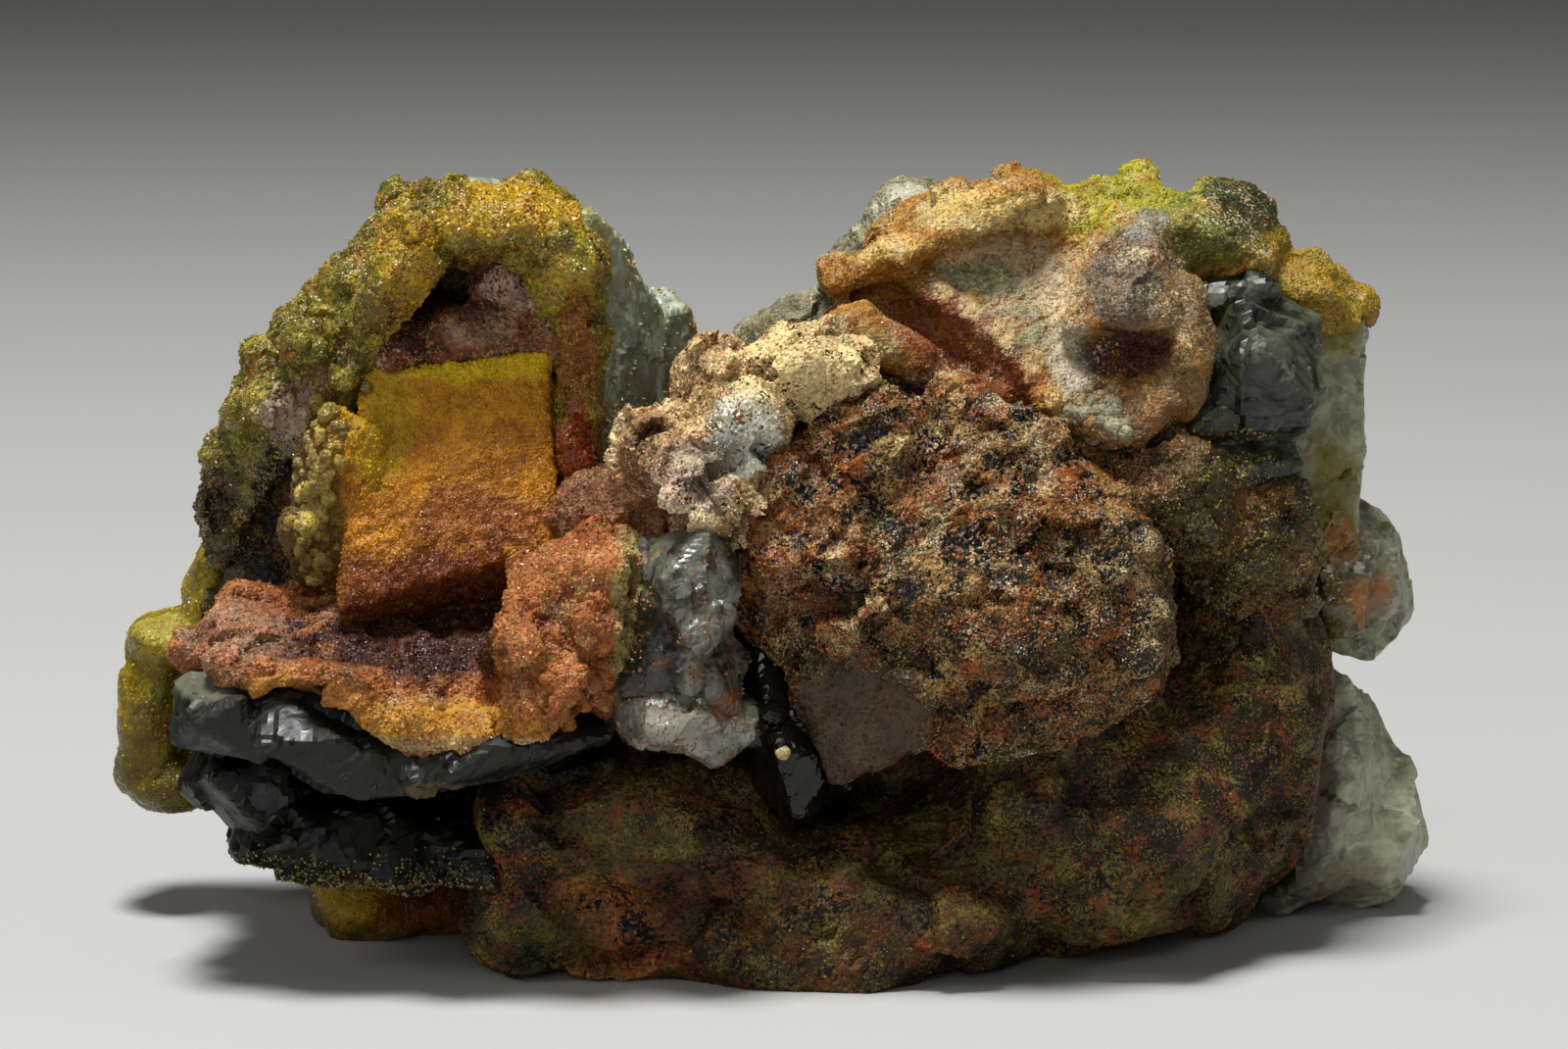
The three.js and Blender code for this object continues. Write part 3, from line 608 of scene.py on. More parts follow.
rock = rock_bed()
rock_points = read_points(rock)
rock_relief = 1.1 * breaks(rock_points, 9.0, 31) + 0.35 * breaks(rock_points, 3.0, 32)
rock_relief += 0.12 * swells(rock_points, 1.5, 33) + 0.12 * knobs(rock_points, 1.2, 34)
crusts = search_tree(BEDDED)
off_crust = np.array([crusts.find_nearest(Vector(point))[3] for point in rock_points])
rock_relief *= np.clip((off_crust - BED_MARGIN) / BED_FADE, 0, 1)
raise_by(rock, rock_relief)
set_relief(rock, 0.5 + 0.45 * rock_relief)
rock_finish = mineral(
    "brown_rock", ROCK_DARK, ROCK_LIGHT, ROCK_STAINS_AND_SHADE, ROCK_DUSTS, roughness=0.65, vary=0.6
)
rock_grit = mineral("rock_grit", "#4c3410", "#7a6a2c", roughness=0.6, vary=0.5, mottle=0.35, loose=True)
rock_grains = grains(rock, 7000, (0.06, 0.14), 101)
finished("matrix_rock_surface", rock, rock_finish, "brown_rock", "matrix_rock")
finished("matrix_rock_grains", rock_grains, rock_grit, "brown_rock")

# Smoky quartz: the nearly black base, the wedge beside the boulder and the grey lens at
# the right. It is glass-like, breaks in curved flakes, and lets light through thin edges.


def quartz_skin(solid, voxel, salt, chips=0.45, swell=0.2):
    """Broken quartz: flat and curved faces of a few sizes, with sharp edges between."""
    mesh = fine_skin(solid, voxel, 0, swell)
    points = read_points(mesh)
    relief = chips * breaks(points, 5.0, salt) + chips * 0.25 * breaks(points, 1.8, salt + 20)
    raise_by(mesh, relief)
    return mesh


QUARTZ_IOR = 1.544


def quartz(
    name, dark, light, clearness, roughness, absorbed, density,
    stain_and_shade_patches=(), dusts=(), flakes=1.6, shine=0.5, tilt=0.55,
):
    """Quartz: light passes by the share clearness, absorbed is the colour that its depth
    takes on, and its broken faces reflect in flakes of the given size."""
    material, tree, shader = new_material(name)
    shader.inputs["Transmission Weight"].default_value = clearness
    shader.inputs["IOR"].default_value = QUARTZ_IOR
    shader.inputs["Specular IOR Level"].default_value = shine
    spot = place_in_mm(tree)
    veil = noise(tree, spot, 0.55, 8.0, 0.68, 0.9)
    cloud = ranged(tree, veil, 0.40, 0.62)
    colour = mixed(tree, cloud, linear(dark), linear(light))
    colour = dusted(tree, stained_and_shaded(tree, colour, stain_and_shade_patches), dusts)
    tree.links.new(colour, shader.inputs["Base Color"])
    frost = ranged(tree, veil, 0.38, 0.64, roughness * 0.7, roughness * 1.6)
    tree.links.new(frost, shader.inputs["Roughness"])
    flake = grouped(tree, grit_group, Size=flakes, Tilt=tilt).outputs["Normal"]
    splinter = grouped(tree, grit_group, Size=flakes * 0.3, Tilt=tilt * 0.4).outputs["Normal"]
    faceted = vector_math(tree, "NORMALIZE", vector_math(tree, "ADD", flake, splinter))
    rings = noise(tree, spot, 1.4, 5.0, 0.6, 1.5)
    bump = node(tree, "Bump", Strength=0.06, Distance=0.4 * MM, Height=rings)
    tree.links.new(faceted, bump.inputs["Normal"])
    tree.links.new(bump.outputs["Normal"], shader.inputs["Normal"])
    body = node(tree, "VolumeAbsorption", Density=density)
    body.inputs["Color"].default_value = linear(absorbed)
    tree.links.new(body.outputs["Volume"], tree.nodes["Material Output"].inputs["Volume"])
    return material


def near(place, reach):
    """A density that is 1 round a place and falls to 0 at its reach."""

    def density(spots, normals):
        return 1.6 - 1.6 * np.linalg.norm((spots - np.array(place)) / np.array(reach), axis=1)

    return density


BEFORE_FRONT = -60.0


def beads(path, count, spread, radius, salt):
    """Rounded nodules of crust along a line of (x, z) places on the specimen's front, sunk
    a little into it and joined in one mesh."""
    draw = np.random.default_rng(salt)
    ball = bmesh.new()
    bmesh.ops.create_icosphere(ball, subdivisions=2, radius=1)
    unit = np.array([v.co[:] for v in ball.verts])
    sides = np.array([[v.index for v in f.verts] for f in ball.faces])
    ball.free()
    points, faces = [], []
    legs = list(zip(np.array(path[:-1]), np.array(path[1:])))
    while len(points) < count:
        a, b = legs[draw.integers(len(legs))]
        x, z = a + (b - a) * draw.random() + draw.normal(0, spread, 2)
        hit = SOLIDS.ray_cast(Vector((x, BEFORE_FRONT, z)), Vector((0, 1, 0)))[0]
        size = radius[0] + (radius[1] - radius[0]) * draw.random() ** 1.5
        stretched = unit * size * (0.85 + 0.3 * draw.random(3))
        if hit is None:
            continue
        faces.append(sides + len(points) * len(unit))
        points.append(stretched + np.array(hit))
    points, faces = np.concatenate(points), np.concatenate(faces)
    mesh = bpy.data.meshes.new("beads")
    mesh.from_pydata(points, [], faces)
    lumpy = 0.16 * swells(points, 0.7, salt + 1) + 0.12 * knobs(points, 0.4, salt + 2)
    write_points(mesh, keep_flat_base(points + read_normals(mesh) * lumpy[:, None]))
    set_relief(mesh, 0.55 + lumpy)
    return mesh


smoky_finish = quartz(
    "smoky_quartz", "#020201", "#101108", 0.3, 0.36, "#26261c", 1200.0, flakes=3.6, shine=0.1, tilt=0.3
)
wedge_finish = quartz(
    "wedge_quartz", "#070604", "#1f1c14", 0.4, 0.08, "#26221a", 1200.0, flakes=3.0, shine=0.22, tilt=0.35
)
lens_finish = quartz(
    "smoky_lens_quartz", "#1a1c13", "#5c604a", 0.35, 0.36, "#66695a", 400.0, flakes=3.4, shine=0.3
)
ochre_dust = mineral("ochre_dust", "#5a461a", "#948040", roughness=0.6, vary=0.5, mottle=0.4, loose=True)

smoky_base = quartz_skin("smoky_quartz_base", 0.4, 51, 0.55)
base_dust = grains(smoky_base, 2600, (0.06, 0.16), 102, lambda at, way: 1.0 - (at[:, 2] - 4.4) / 4.2)
finished("smoky_base_quartz", smoky_base, smoky_finish, "smoky_quartz", "smoky_quartz_base")
finished("smoky_base_dust", base_dust, ochre_dust, "brown_rock")

wedge = quartz_skin("dark_wedge_crystal", 0.28, 52, 0.2)
wedge_beads = beads([(-0.4, 14.6), (1.0, 14.6)], 2, 0.08, (0.3, 0.36), 124)
beige_nodule = mineral("beige_nodule", "#8a7444", "#c4b27c", roughness=0.5)
finished("dark_wedge_quartz", wedge, wedge_finish, "smoky_quartz", "dark_wedge_crystal")
finished("wedge_nodules", wedge_beads, beige_nodule, "beige_crust")

smoky_lens = quartz_skin("smoky_quartz_lens", 0.33, 53, 0.55)
lens_dust = grains(smoky_lens, 500, (0.07, 0.17), 103, near((26.0, -8.0, 30.0), (5.0, 6.0, 4.0)))
finished("smoky_lens", smoky_lens, lens_finish, "smoky_quartz", "smoky_quartz_lens")
finished("smoky_lens_dust", lens_dust, ochre_dust, "brown_rock")

# Grey quartz: the ledge under the bowl, the stepped fin behind the block and the tip on
# the left hump. It is translucent, and small beige crystals stand on the fin's foot.
LEDGE_STAINS = (
    ("#7a6430", (-19.6, -19.0, 12.6), (1.6, 3.0, 0.8), 0.6),
    ("#8c8c76", (-33.4, -15.0, 18.2), (1.8, 5.0, 0.8), 0.7),
)
FIN_STAINS = (
    ("#a89c34", (-10.6, -5.0, 44.6), (1.6, 3.0, 1.6), 0.5),
    ("#b0903c", (-4.8, 8.0, 37.6), (1.6, 3.0, 2.0), 0.8),
)
ledge_finish = quartz(
    "ledge_quartz", "#0a0b05", "#24271a", 0.5, 0.44, "#44442f", 600.0, LEDGE_STAINS,
    flakes=3.4, shine=0.18, tilt=0.3
)
fin_finish = quartz(
    "fin_quartz", "#84907a", "#c4cfb6", 0.3, 0.3, "#8f9a84", 160.0, FIN_STAINS, flakes=0.7
)
beige_crystals = mineral(
    "beige_crystals", "#8a6a34", "#cfc090", roughness=0.45, vary=0.4, mottle=0.6, loose=True
)

ledge = quartz_skin("quartz_ledge", 0.33, 61, 0.4, 0.1)
finished("ledge_quartz", ledge, ledge_finish, "clear_quartz", "quartz_ledge")

RIB_HEIGHT = 0.14
RIB_LENGTHENED = (1, 1, 0.4)
fin = quartz_skin("quartz_fin", 0.32, 62, 0.22)
fin_points = read_points(fin)
fin_ribs = knobs(fin_points * RIB_LENGTHENED, 0.8, 64)
write_points(fin, fin_points + read_normals(fin) * RIB_HEIGHT * fin_ribs[:, None])


def fin_density(at, way):
    """Crystals crowd the fin's foot, and a few stand higher."""
    return 0.03 + np.clip((34.0 - at[:, 2]) / 6.0, 0, 1) + (swells(at, 1.4, 9) > 0.5) * 0.25


fin_dust = grains(fin, 1800, (0.09, 0.22), 105, fin_density)
finished("fin_quartz", fin, fin_finish, "clear_quartz", "quartz_fin")
finished("fin_crystals", fin_dust, beige_crystals, "beige_crust")

tip = quartz_skin("grey_quartz_tip", 0.3, 63, 0.2)
finished("grey_tip_quartz", tip, fin_finish, "clear_quartz", "grey_quartz_tip")

# Milky quartz: the light broken piece nearest the front, the pale rim at the right and
# the white wing below it, stained rust and yellow where they meet the rock.
LIGHT_STAINS = (
    ("#1c1c16", (-7.0, -20.0, 20.4), (1.8, 5.0, 3.0), 0.85),
    ("#cfcdb8", (-4.6, -20.0, 16.2), (3.4, 6.0, 1.4), 0.85),
    ("#0c0a08", (-8.2, -19.0, 18.6), (0.9, 3.0, 1.0), 0.9),
    ("#9c5a24", (-2.6, -19.0, 17.6), (0.9, 3.0, 1.0), 0.8),
)
RIM_STAINS = (
    ("#5e480c", (31.8, 0.0, 22.4), (4.4, 6.0, 6.0), 0.9),
    ("#7e6c1e", (33.6, 1.0, 26.6), (3.0, 6.0, 4.4), 0.8),
    ("#a8642a", (36.4, 4.0, 20.6), (2.2, 5.0, 1.6), 0.7),
    ("#a8642a", (35.0, 2.0, 24.4), (1.2, 5.0, 1.6), 0.6),
    ("#9a8a20", (34.0, 2.0, 37.6), (2.4, 5.0, 2.0), 0.6),
)
WING_STAINS = (
    ("#3c2e12", (32.0, 3.0, 8.0), (3.4, 8.0, 8.0), 0.9),
    ("#6c5020", (36.0, 4.6, 2.6), (2.4, 4.0, 1.8), 0.5),
)
LIGHT_DUSTS = (("#8a5424", 0.2, 1.6, 0.10),)
light_finish = quartz(
    "light_quartz", "#3c3e32", "#a8aa96", 0.55, 0.26, "#8e8e78", 300.0, LIGHT_STAINS, LIGHT_DUSTS, flakes=1.0
)
rim_finish = quartz(
    "rim_quartz", "#6e7052", "#b4b494", 0.35, 0.26, "#8a9070", 260.0, RIM_STAINS, flakes=2.4
)
wing_finish = quartz(
    "wing_quartz", "#98997c", "#cac8aa", 0.25, 0.34, "#989c80", 220.0, WING_STAINS, flakes=4.5
)
rust_specks = mineral(
    "rust_specks", "#6e3410", "#b4804a", roughness=0.6, vary=0.5, mottle=0.8, loose=True
)

light_piece = quartz_skin("light_grey_quartz", 0.3, 71, 0.6)
light_dust = grains(light_piece, 450, (0.07, 0.16), 106, lambda at, way: 0.1 + (swells(at, 1.2, 5) > 0.25))
finished("light_quartz", light_piece, light_finish, "milky_quartz", "light_grey_quartz")
finished("light_quartz_specks", light_dust, rust_specks, "orange_crust")

rim = quartz_skin("light_quartz_rim", 0.45, 72, 0.6)
rim_dust = grains(rim, 700, (0.08, 0.2), 107, near((31.0, 0.0, 22.0), (6.0, 8.0, 7.0)))
finished("rim_quartz", rim, rim_finish, "milky_quartz", "light_quartz_rim")
finished("rim_quartz_specks", rim_dust, ochre_dust, "yellow_crust")

wing = quartz_skin("white_quartz_wing", 0.45, 73, 0.35)
finished("wing_quartz", wing, wing_finish, "milky_quartz", "white_quartz_wing")

# Boulder: dark quartz whose face is densely strewn with white, beige and rust grains; a
# smooth pinkish grey facet shows at its lower left, and its right end is olive and darker,
# partly a painted shade where it recedes.
FACET_PLACE = (5.0, -17.0, 15.6)
FACET_REACH = (4.6, 12.0, 4.6)
OLIVE_SHADED_END_PLACE = (28.0, -9.0, 26.0)
OLIVE_SHADED_END_REACH = (7.0, 10.0, 9.0)
BOULDER_STAINS_AND_SHADE = (
    ("#7a4216", (1.4, -17.0, 27.0), (4.2, 6.0, 6.0), 0.8),
    ("#7e5226", (13.0, -14.0, 30.6), (7.0, 6.0, 3.0), 0.6),
    ("#14110b", (21.0, -14.0, 23.0), (4.0, 6.0, 5.0), 0.7),
    # olive right end, darkened partly as painted shade
    ("#2a260c", OLIVE_SHADED_END_PLACE, OLIVE_SHADED_END_REACH, 0.85),
    ("#120e08", (6.0, -14.0, 31.4), (2.4, 5.0, 1.6), 0.7),
    ("#483726", FACET_PLACE, FACET_REACH, 0.9),
)
BOULDER_DUSTS = (
    ("#8a4616", 0.22, 2.6, 0.34),
    ("#90723e", 0.15, 1.8, 0.30),
    ("#b0a078", 0.12, 2.4, 0.12),
    ("#100c06", 0.26, 1.6, 0.30),
)
boulder = fine_skin("speckled_boulder", 0.36, 1, 0.25, 0.5)
boulder_points = read_points(boulder)
smooth_facet = np.clip(near(FACET_PLACE, FACET_REACH)(boulder_points, None), 0, 1)
boulder_relief = 0.75 * breaks(boulder_points, 5.6, 81) + 0.4 * breaks(boulder_points, 1.7, 82)
boulder_relief += 0.1 * knobs(boulder_points, 1.3, 83) + 0.2 * knobs(boulder_points, 0.6, 84)
boulder_relief *= 1 - smooth_facet * 0.9
raise_by(boulder, boulder_relief)
set_relief(boulder, 0.5 + boulder_relief * 0.6)
BOULDER_BARE = ((FACET_PLACE, FACET_REACH, 0.9), (OLIVE_SHADED_END_PLACE, OLIVE_SHADED_END_REACH, 0.7))
boulder_finish = mineral(
    "speckled_quartz", "#1a140a", "#483616", BOULDER_STAINS_AND_SHADE, BOULDER_DUSTS, roughness=0.5, bare=BOULDER_BARE
)
pale_specks = mineral(
    "pale_specks", "#6a5026", "#a08c5c", roughness=0.5, vary=0.5, mottle=0.9, loose=True
)
boulder_rust = mineral(
    "boulder_rust", "#5a260c", "#945020", roughness=0.55, vary=0.5, mottle=0.9, loose=True
)
olive_specks = mineral(
    "olive_specks", "#4c460e", "#8a7c2c", roughness=0.5, vary=0.5, mottle=0.9, loose=True
)


def speckle_density(at, way):
    """Grains in drifts, but none on the smooth facet and few at the right end, which is olive and partly
    painted shade.
    """
    clear = np.clip(near(FACET_PLACE, FACET_REACH)(at, way) * 2, 0, 1)
    olive_shaded_end = np.clip((at[:, 0] - 20.0) / 6.0, 0, 0.93)
    return (1 - clear) * (1 - olive_shaded_end) * (0.08 + 0.92 * (swells(at, 2.2, 8) > 0.12))


def rust_density(at, way):
    """Rust gathers in other drifts, more to the upper left."""
    leftward = np.clip(1.2 - (at[:, 0] - 2.0) / 24.0, 0.2, 1)
    return speckle_density(at, way) * (swells(at, 2.6, 6) > 0.0) * leftward


boulder_pale = grains(boulder, 6500, (0.05, 0.13), 108, speckle_density)
boulder_red = grains(boulder, 5500, (0.06, 0.17), 109, rust_density)
boulder_olive = grains(boulder, 1600, (0.06, 0.16), 116, near((28.0, -8.0, 25.0), (8.0, 12.0, 11.0)))
finished("speckled_boulder_face", boulder, boulder_finish, "speckled_quartz", "speckled_boulder")
finished("boulder_pale_grains", boulder_pale, pale_specks, "beige_crust")
finished("boulder_rust_grains", boulder_red, boulder_rust, "orange_crust")
finished("boulder_olive_grains", boulder_olive, olive_specks, "olive_crust")

# Block: a rhomb-shaped crystal under a thick even coat of sugary orange mimetite, bright
# yellow along its top edge, pinkish across its lower face and burnt orange below, darkened
# there as painted shade, with small grape-like nodules down its left edge.


def crust_skin(
    solid, voxel, rounds, salt,
    swell=0.25, fill=0.35, lump=0.2, chunk=0.4, knob=0.3, sugar=0.14,
):
    """Sugary crust: the solid softened, then raised in lumps, chunks, knobs and grains."""
    mesh = fine_skin(solid, voxel, rounds, swell, fill)
    points = read_points(mesh)
    relief = lump * swells(points, 3.6, salt) + chunk * breaks(points, 2.6, salt + 30)
    relief += knob * (knobs(points, 1.6, salt + 1) + 0.5 * knobs(points, 0.9, salt + 2) - 0.4)
    relief += sugar * (knobs(points, 0.52, salt + 3) + swells(points, 0.4, salt + 4))
    raise_by(mesh, relief)
    set_relief(mesh, 0.45 + relief * 0.7)
    return mesh


BLOCK_STAINS_AND_SHADE = (
    ("#c48a10", (-19.4, -9.0, 35.0), (6.4, 5.0, 2.6), 0.7),
    ("#dcb818", (-18.6, -9.0, 37.1), (7.4, 5.0, 1.6), 0.95),
    ("#b08e10", (-23.2, -10.0, 33.0), (2.2, 5.0, 3.6), 0.7),
    ("#4a3c14", (-27.8, -10.0, 27.4), (2.6, 5.0, 8.0), 0.9),
    ("#844628", (-17.4, -13.0, 27.6), (4.8, 3.0, 1.8), 0.6),
    # painted shade on the underside, over its orange crust colour
    ("#602604", (-18.0, -12.0, 23.2), (9.0, 5.0, 3.0), 0.88),
)
block = crust_skin(
    "rhomb_block", 0.25, 1, 201, swell=0.15, fill=0.0, lump=0.1, chunk=0.0, knob=0.06, sugar=0.11
)
block_finish = mineral(
    "block_crust", "#8c4c08", "#b87c14", BLOCK_STAINS_AND_SHADE, grain=0.16, roughness=0.45, vary=0.25
)
block_sugar = mineral(
    "block_sugar", "#98560a", "#c48a1c", BLOCK_STAINS_AND_SHADE, roughness=0.4, vary=0.25, loose=True
)
grape_finish = mineral(
    "grape_crust", "#4e3c12", "#a48c3c", roughness=0.4, vary=0.35, mottle=0.8, shine=0.4
)
block_grains = grains(block, 8000, (0.07, 0.15), 110)
grapes = beads([(-25.6, 34.4), (-26.6, 31.0), (-27.2, 27.0), (-27.0, 24.0)], 160, 0.7, (0.25, 0.55), 120)
finished("block_crust", block, block_finish, "orange_crust", "rhomb_block")
finished("block_grains", block_grains, block_sugar, "orange_crust")
finished("block_grapes", grapes, grape_finish, "olive_crust")

# Bowl: orange crust in a dish with a ragged yellow-orange lip, and a big knobbly mound of
# salmon crust at its right end whose rim is pale yellow. The dish under the block carries a
# painted shadow of the block, dark red-brown and free of dust.
DISH_SHADOW_PLACE = (-20.0, -14.0, 20.8)
DISH_SHADOW_REACH = (8.4, 6.0, 2.4)
BOWL_STAINS_AND_SHADOW = (
    ("#b07c20", (-19.0, -19.0, 16.6), (6.6, 4.0, 1.3), 0.85),
    ("#a4742c", (-27.4, -17.0, 18.2), (3.6, 4.0, 1.2), 0.7),
    ("#b8a674", (-19.0, -19.5, 15.4), (8.0, 3.0, 0.5), 0.6),
    ("#8c6c54", (-31.4, -13.0, 20.6), (3.4, 6.0, 2.0), 0.75),
    # painted shadow of the block in the dish
    ("#2a0c04", DISH_SHADOW_PLACE, DISH_SHADOW_REACH, 0.95),
    ("#b4ac6c", (-8.2, -17.0, 22.6), (1.1, 5.0, 5.0), 0.8),
    ("#c4861c", (-6.6, -17.0, 28.6), (2.0, 3.0, 1.2), 0.8),
)
BOWL_DUSTS = (("#8a4418", 0.24, 1.8, 0.20), ("#a8865a", 0.18, 2.2, 0.14))
LIP_FRONT = -15.5
LIP_TOP = 20.5
LIP_AT = (-33.0, -29.0, -25.5, -22.5, -20.0, -16.0, -13.0, -10.5, -8.5)
LIP_RISE = (0.0, 0.8, 1.8, 0.7, -0.6, -1.2, -0.8, 1.4, 0.4)
bowl = crust_skin("bowl_crust", 0.31, 1, 211, fill=0.5)
bowl_points = read_points(bowl)
in_front = np.clip((LIP_FRONT - bowl_points[:, 1]) / 1.5, 0, 1)
in_front *= np.clip((LIP_TOP - bowl_points[:, 2]) / 3.0, 0, 1)
bowl_points[:, 2] += in_front * np.interp(bowl_points[:, 0], LIP_AT, LIP_RISE)
write_points(bowl, bowl_points)

DISH_SHADOW_BARE = ((DISH_SHADOW_PLACE, DISH_SHADOW_REACH, 0.9),)
bowl_finish = mineral("bowl_crust", "#64260a", "#a0622c", BOWL_STAINS_AND_SHADOW, BOWL_DUSTS, bare=DISH_SHADOW_BARE)
bowl_sugar = mineral(
    "bowl_sugar", "#7c3a12", "#a8703a", BOWL_STAINS_AND_SHADOW, roughness=0.5, vary=0.35, loose=True
)
bowl_grains = grains(bowl, 7500, (0.07, 0.18), 111)
mound_beads = beads([(-14.6, 20.6), (-11.6, 18.4), (-10.0, 21.4), (-11.0, 25.0)], 120, 1.1, (0.25, 0.6), 121)
finished("bowl_crust_face", bowl, bowl_finish, "orange_crust", "bowl_crust")
finished("bowl_grains", bowl_grains, bowl_sugar, "orange_crust")
finished("mound_nodules", mound_beads, bowl_finish, "orange_crust")

# Dusty druse: pinkish brown crystals too small to tell apart, in the hollow under the
# hood and along the saddle between the block and the middle lumps.
DRUSE_STAINS_AND_SHADE = (
    ("#b8a08c", (-15.2, -7.0, 41.2), (2.2, 4.0, 1.8), 0.8),
    ("#a48870", (-17.4, -8.0, 38.4), (2.8, 4.0, 1.0), 0.6),
    # dark red-brown corner of the hollow under the hood, partly painted shade
    ("#260c07", (-22.0, -7.0, 38.4), (2.6, 5.0, 3.0), 0.85),
    ("#a0704a", (-8.0, -12.0, 29.0), (3.0, 4.0, 2.0), 0.5),
)
DRUSE_DUSTS = (("#a07e5c", 0.18, 1.4, 0.30), ("#74381a", 0.24, 1.6, 0.26))
druse_finish = mineral("pink_druse", "#42200e", "#86542e", DRUSE_STAINS_AND_SHADE, DRUSE_DUSTS, roughness=0.75)
druse_sugar = mineral("druse_sugar", "#5c2e18", "#96704e", DRUSE_STAINS_AND_SHADE, roughness=0.7, loose=True)
DRUSES = (("pink_hollow_druse", "hollow_druse_face", 221), ("saddle_druse", "saddle_druse_face", 231))
for solid, name, salt in DRUSES:
    druse = crust_skin(solid, 0.31, 1, salt)
    druse_grains = grains(druse, 2000, (0.06, 0.15), salt + 9)
    finished(name, druse, druse_finish, "pink_druse", solid)
    finished(name + "_grains", druse_grains, druse_sugar, "pink_druse")

# Middle lumps: a pinkish white and a bluish white chunk, brown druse beside them, and
# beige crust above that runs up to the right hump.
LUMP_STAINS = (
    ("#b09a84", (-4.8, -17.0, 30.4), (2.6, 5.0, 2.4), 0.9),
    ("#eef0dc", (-1.6, -18.0, 33.2), (2.2, 5.0, 2.4), 0.98),
    ("#6a4024", (-7.2, -15.0, 31.6), (2.0, 4.0, 2.6), 0.7),
    ("#dcc48a", (1.6, -14.0, 36.8), (4.6, 6.0, 2.6), 0.92),
    ("#94744a", (-3.4, -12.0, 36.2), (2.8, 3.0, 2.0), 0.6),
    ("#0c0806", (2.4, -16.0, 31.6), (1.3, 4.0, 1.5), 0.95),
)
LUMP_DUSTS = (("#9a5a28", 0.22, 1.6, 0.14), ("#d8c898", 0.18, 1.8, 0.20), ("#3a2414", 0.2, 1.6, 0.06))
lumps = crust_skin("middle_lumps", 0.3, 0, 241, fill=0.7, chunk=0.9, knob=0.1, sugar=0.12)
lumps_finish = mineral("lumps_crust", "#7c5630", "#c4a674", LUMP_STAINS, LUMP_DUSTS, roughness=0.6)
lumps_sugar = mineral("lumps_sugar", "#94662f", "#d0b480", LUMP_STAINS, roughness=0.55, loose=True)
lumps_grains = grains(lumps, 3800, (0.06, 0.16), 112)
finished("middle_lumps_crust", lumps, lumps_finish, "beige_crust", "middle_lumps")
finished("middle_lumps_grains", lumps_grains, lumps_sugar, "beige_crust")

# Crust of the left hump: olive pyromorphite in grape-like knobs down to the left edge,
# and a thick yellow hood over the hollow that turns orange-brown inside.


def along(points, path, width):
    """1 on a line of (x, z) places, seen from the front, falling to 0 at width from it."""
    flat = points[:, [0, 2]]
    far = np.full(len(points), 1e9)
    for a, b in zip(np.array(path[:-1]), np.array(path[1:])):
        share = np.clip((flat - a) @ (b - a) / ((b - a) @ (b - a)), 0, 1)[:, None]
        far = np.minimum(far, np.linalg.norm(flat - a - share * (b - a), axis=1))
    return np.clip(1 - far / width, 0, 1)


def front_share(mesh):
    """How far each point faces the front, from 0 to 1."""
    return np.clip(-read_normals(mesh)[:, 1] * 2, 0, 1)


LEFT_STAINS_AND_SHADE = (
    ("#b08c16", (-15.6, -7.0, 45.4), (5.4, 8.0, 1.9), 0.95),
    ("#6a5422", (-20.4, -5.0, 45.6), (2.4, 6.0, 1.6), 0.8),
    ("#80603c", (-17.4, -2.0, 47.2), (1.8, 4.0, 1.1), 0.8),
    ("#a8840e", (-21.3, -9.6, 42.4), (2.2, 5.0, 4.2), 0.9),
    ("#b0942e", (-12.2, -9.0, 42.2), (2.0, 4.0, 2.4), 0.85),
    ("#7a3c0a", (-16.6, -7.0, 42.6), (4.6, 3.4, 0.7), 0.9),
    ("#84420f", (-11.6, -8.0, 37.0), (1.3, 5.0, 4.4), 0.75),
    ("#94340c", (-11.7, -9.0, 30.6), (1.4, 5.0, 3.4), 0.85),
    ("#b09a86", (-28.2, -9.0, 32.6), (2.0, 4.0, 2.4), 0.8),
    ("#1c1404", (-33.2, -1.0, 26.0), (2.4, 6.0, 4.2), 0.8),
    # painted shade: the crevice at the left, nearly black
    ("#0e0803", (-29.6, -9.0, 27.2), (2.0, 6.0, 4.2), 0.95),
    ("#6a4a2c", (-27.4, -9.0, 35.0), (1.6, 4.0, 1.4), 0.6),
)
LEFT_DUSTS = (("#7a440e", 0.26, 1.8, 0.24), ("#a08c34", 0.2, 1.8, 0.16))
left_crust = crust_skin("left_hump_crust", 0.31, 0, 251, knob=0.4)
FLAP = [(-18.8, 45.8), (-21.3, 42.0), (-23.6, 39.0)]
HOOD = [(-18.4, 44.6), (-14.5, 45.0), (-11.3, 42.6)]
FLAP_WIDTH = 1.7
HOOD_WIDTH = 1.5
FLAP_HEIGHT = 0.85
FLAP_STEEPNESS = 2.5
left_points = read_points(left_crust)
flap_rise = np.maximum(along(left_points, FLAP, FLAP_WIDTH), along(left_points, HOOD, HOOD_WIDTH))
flap_rise = np.clip(flap_rise * FLAP_STEEPNESS, 0, 1) * front_share(left_crust)
write_points(left_crust, left_points + read_normals(left_crust) * FLAP_HEIGHT * flap_rise[:, None])
left_finish = mineral(
    "olive_crust", "#2e2606", "#78701a", LEFT_STAINS_AND_SHADE, LEFT_DUSTS, roughness=0.42, mottle=0.4, shine=0.4
)
left_sugar = mineral(
    "olive_sugar", "#4c440c", "#867e2a", LEFT_STAINS_AND_SHADE, roughness=0.35, shine=0.4, loose=True
)
left_grains = grains(left_crust, 9500, (0.08, 0.2), 113)
left_beads = beads([(-30.4, 33.0), (-28.4, 37.6), (-25.8, 40.0), (-23.4, 43.6)], 130, 1.2, (0.3, 0.7), 122)
finished("left_hump_crust_face", left_crust, left_finish, "olive_crust", "left_hump_crust")
finished("left_hump_grains", left_grains, left_sugar, "olive_crust")
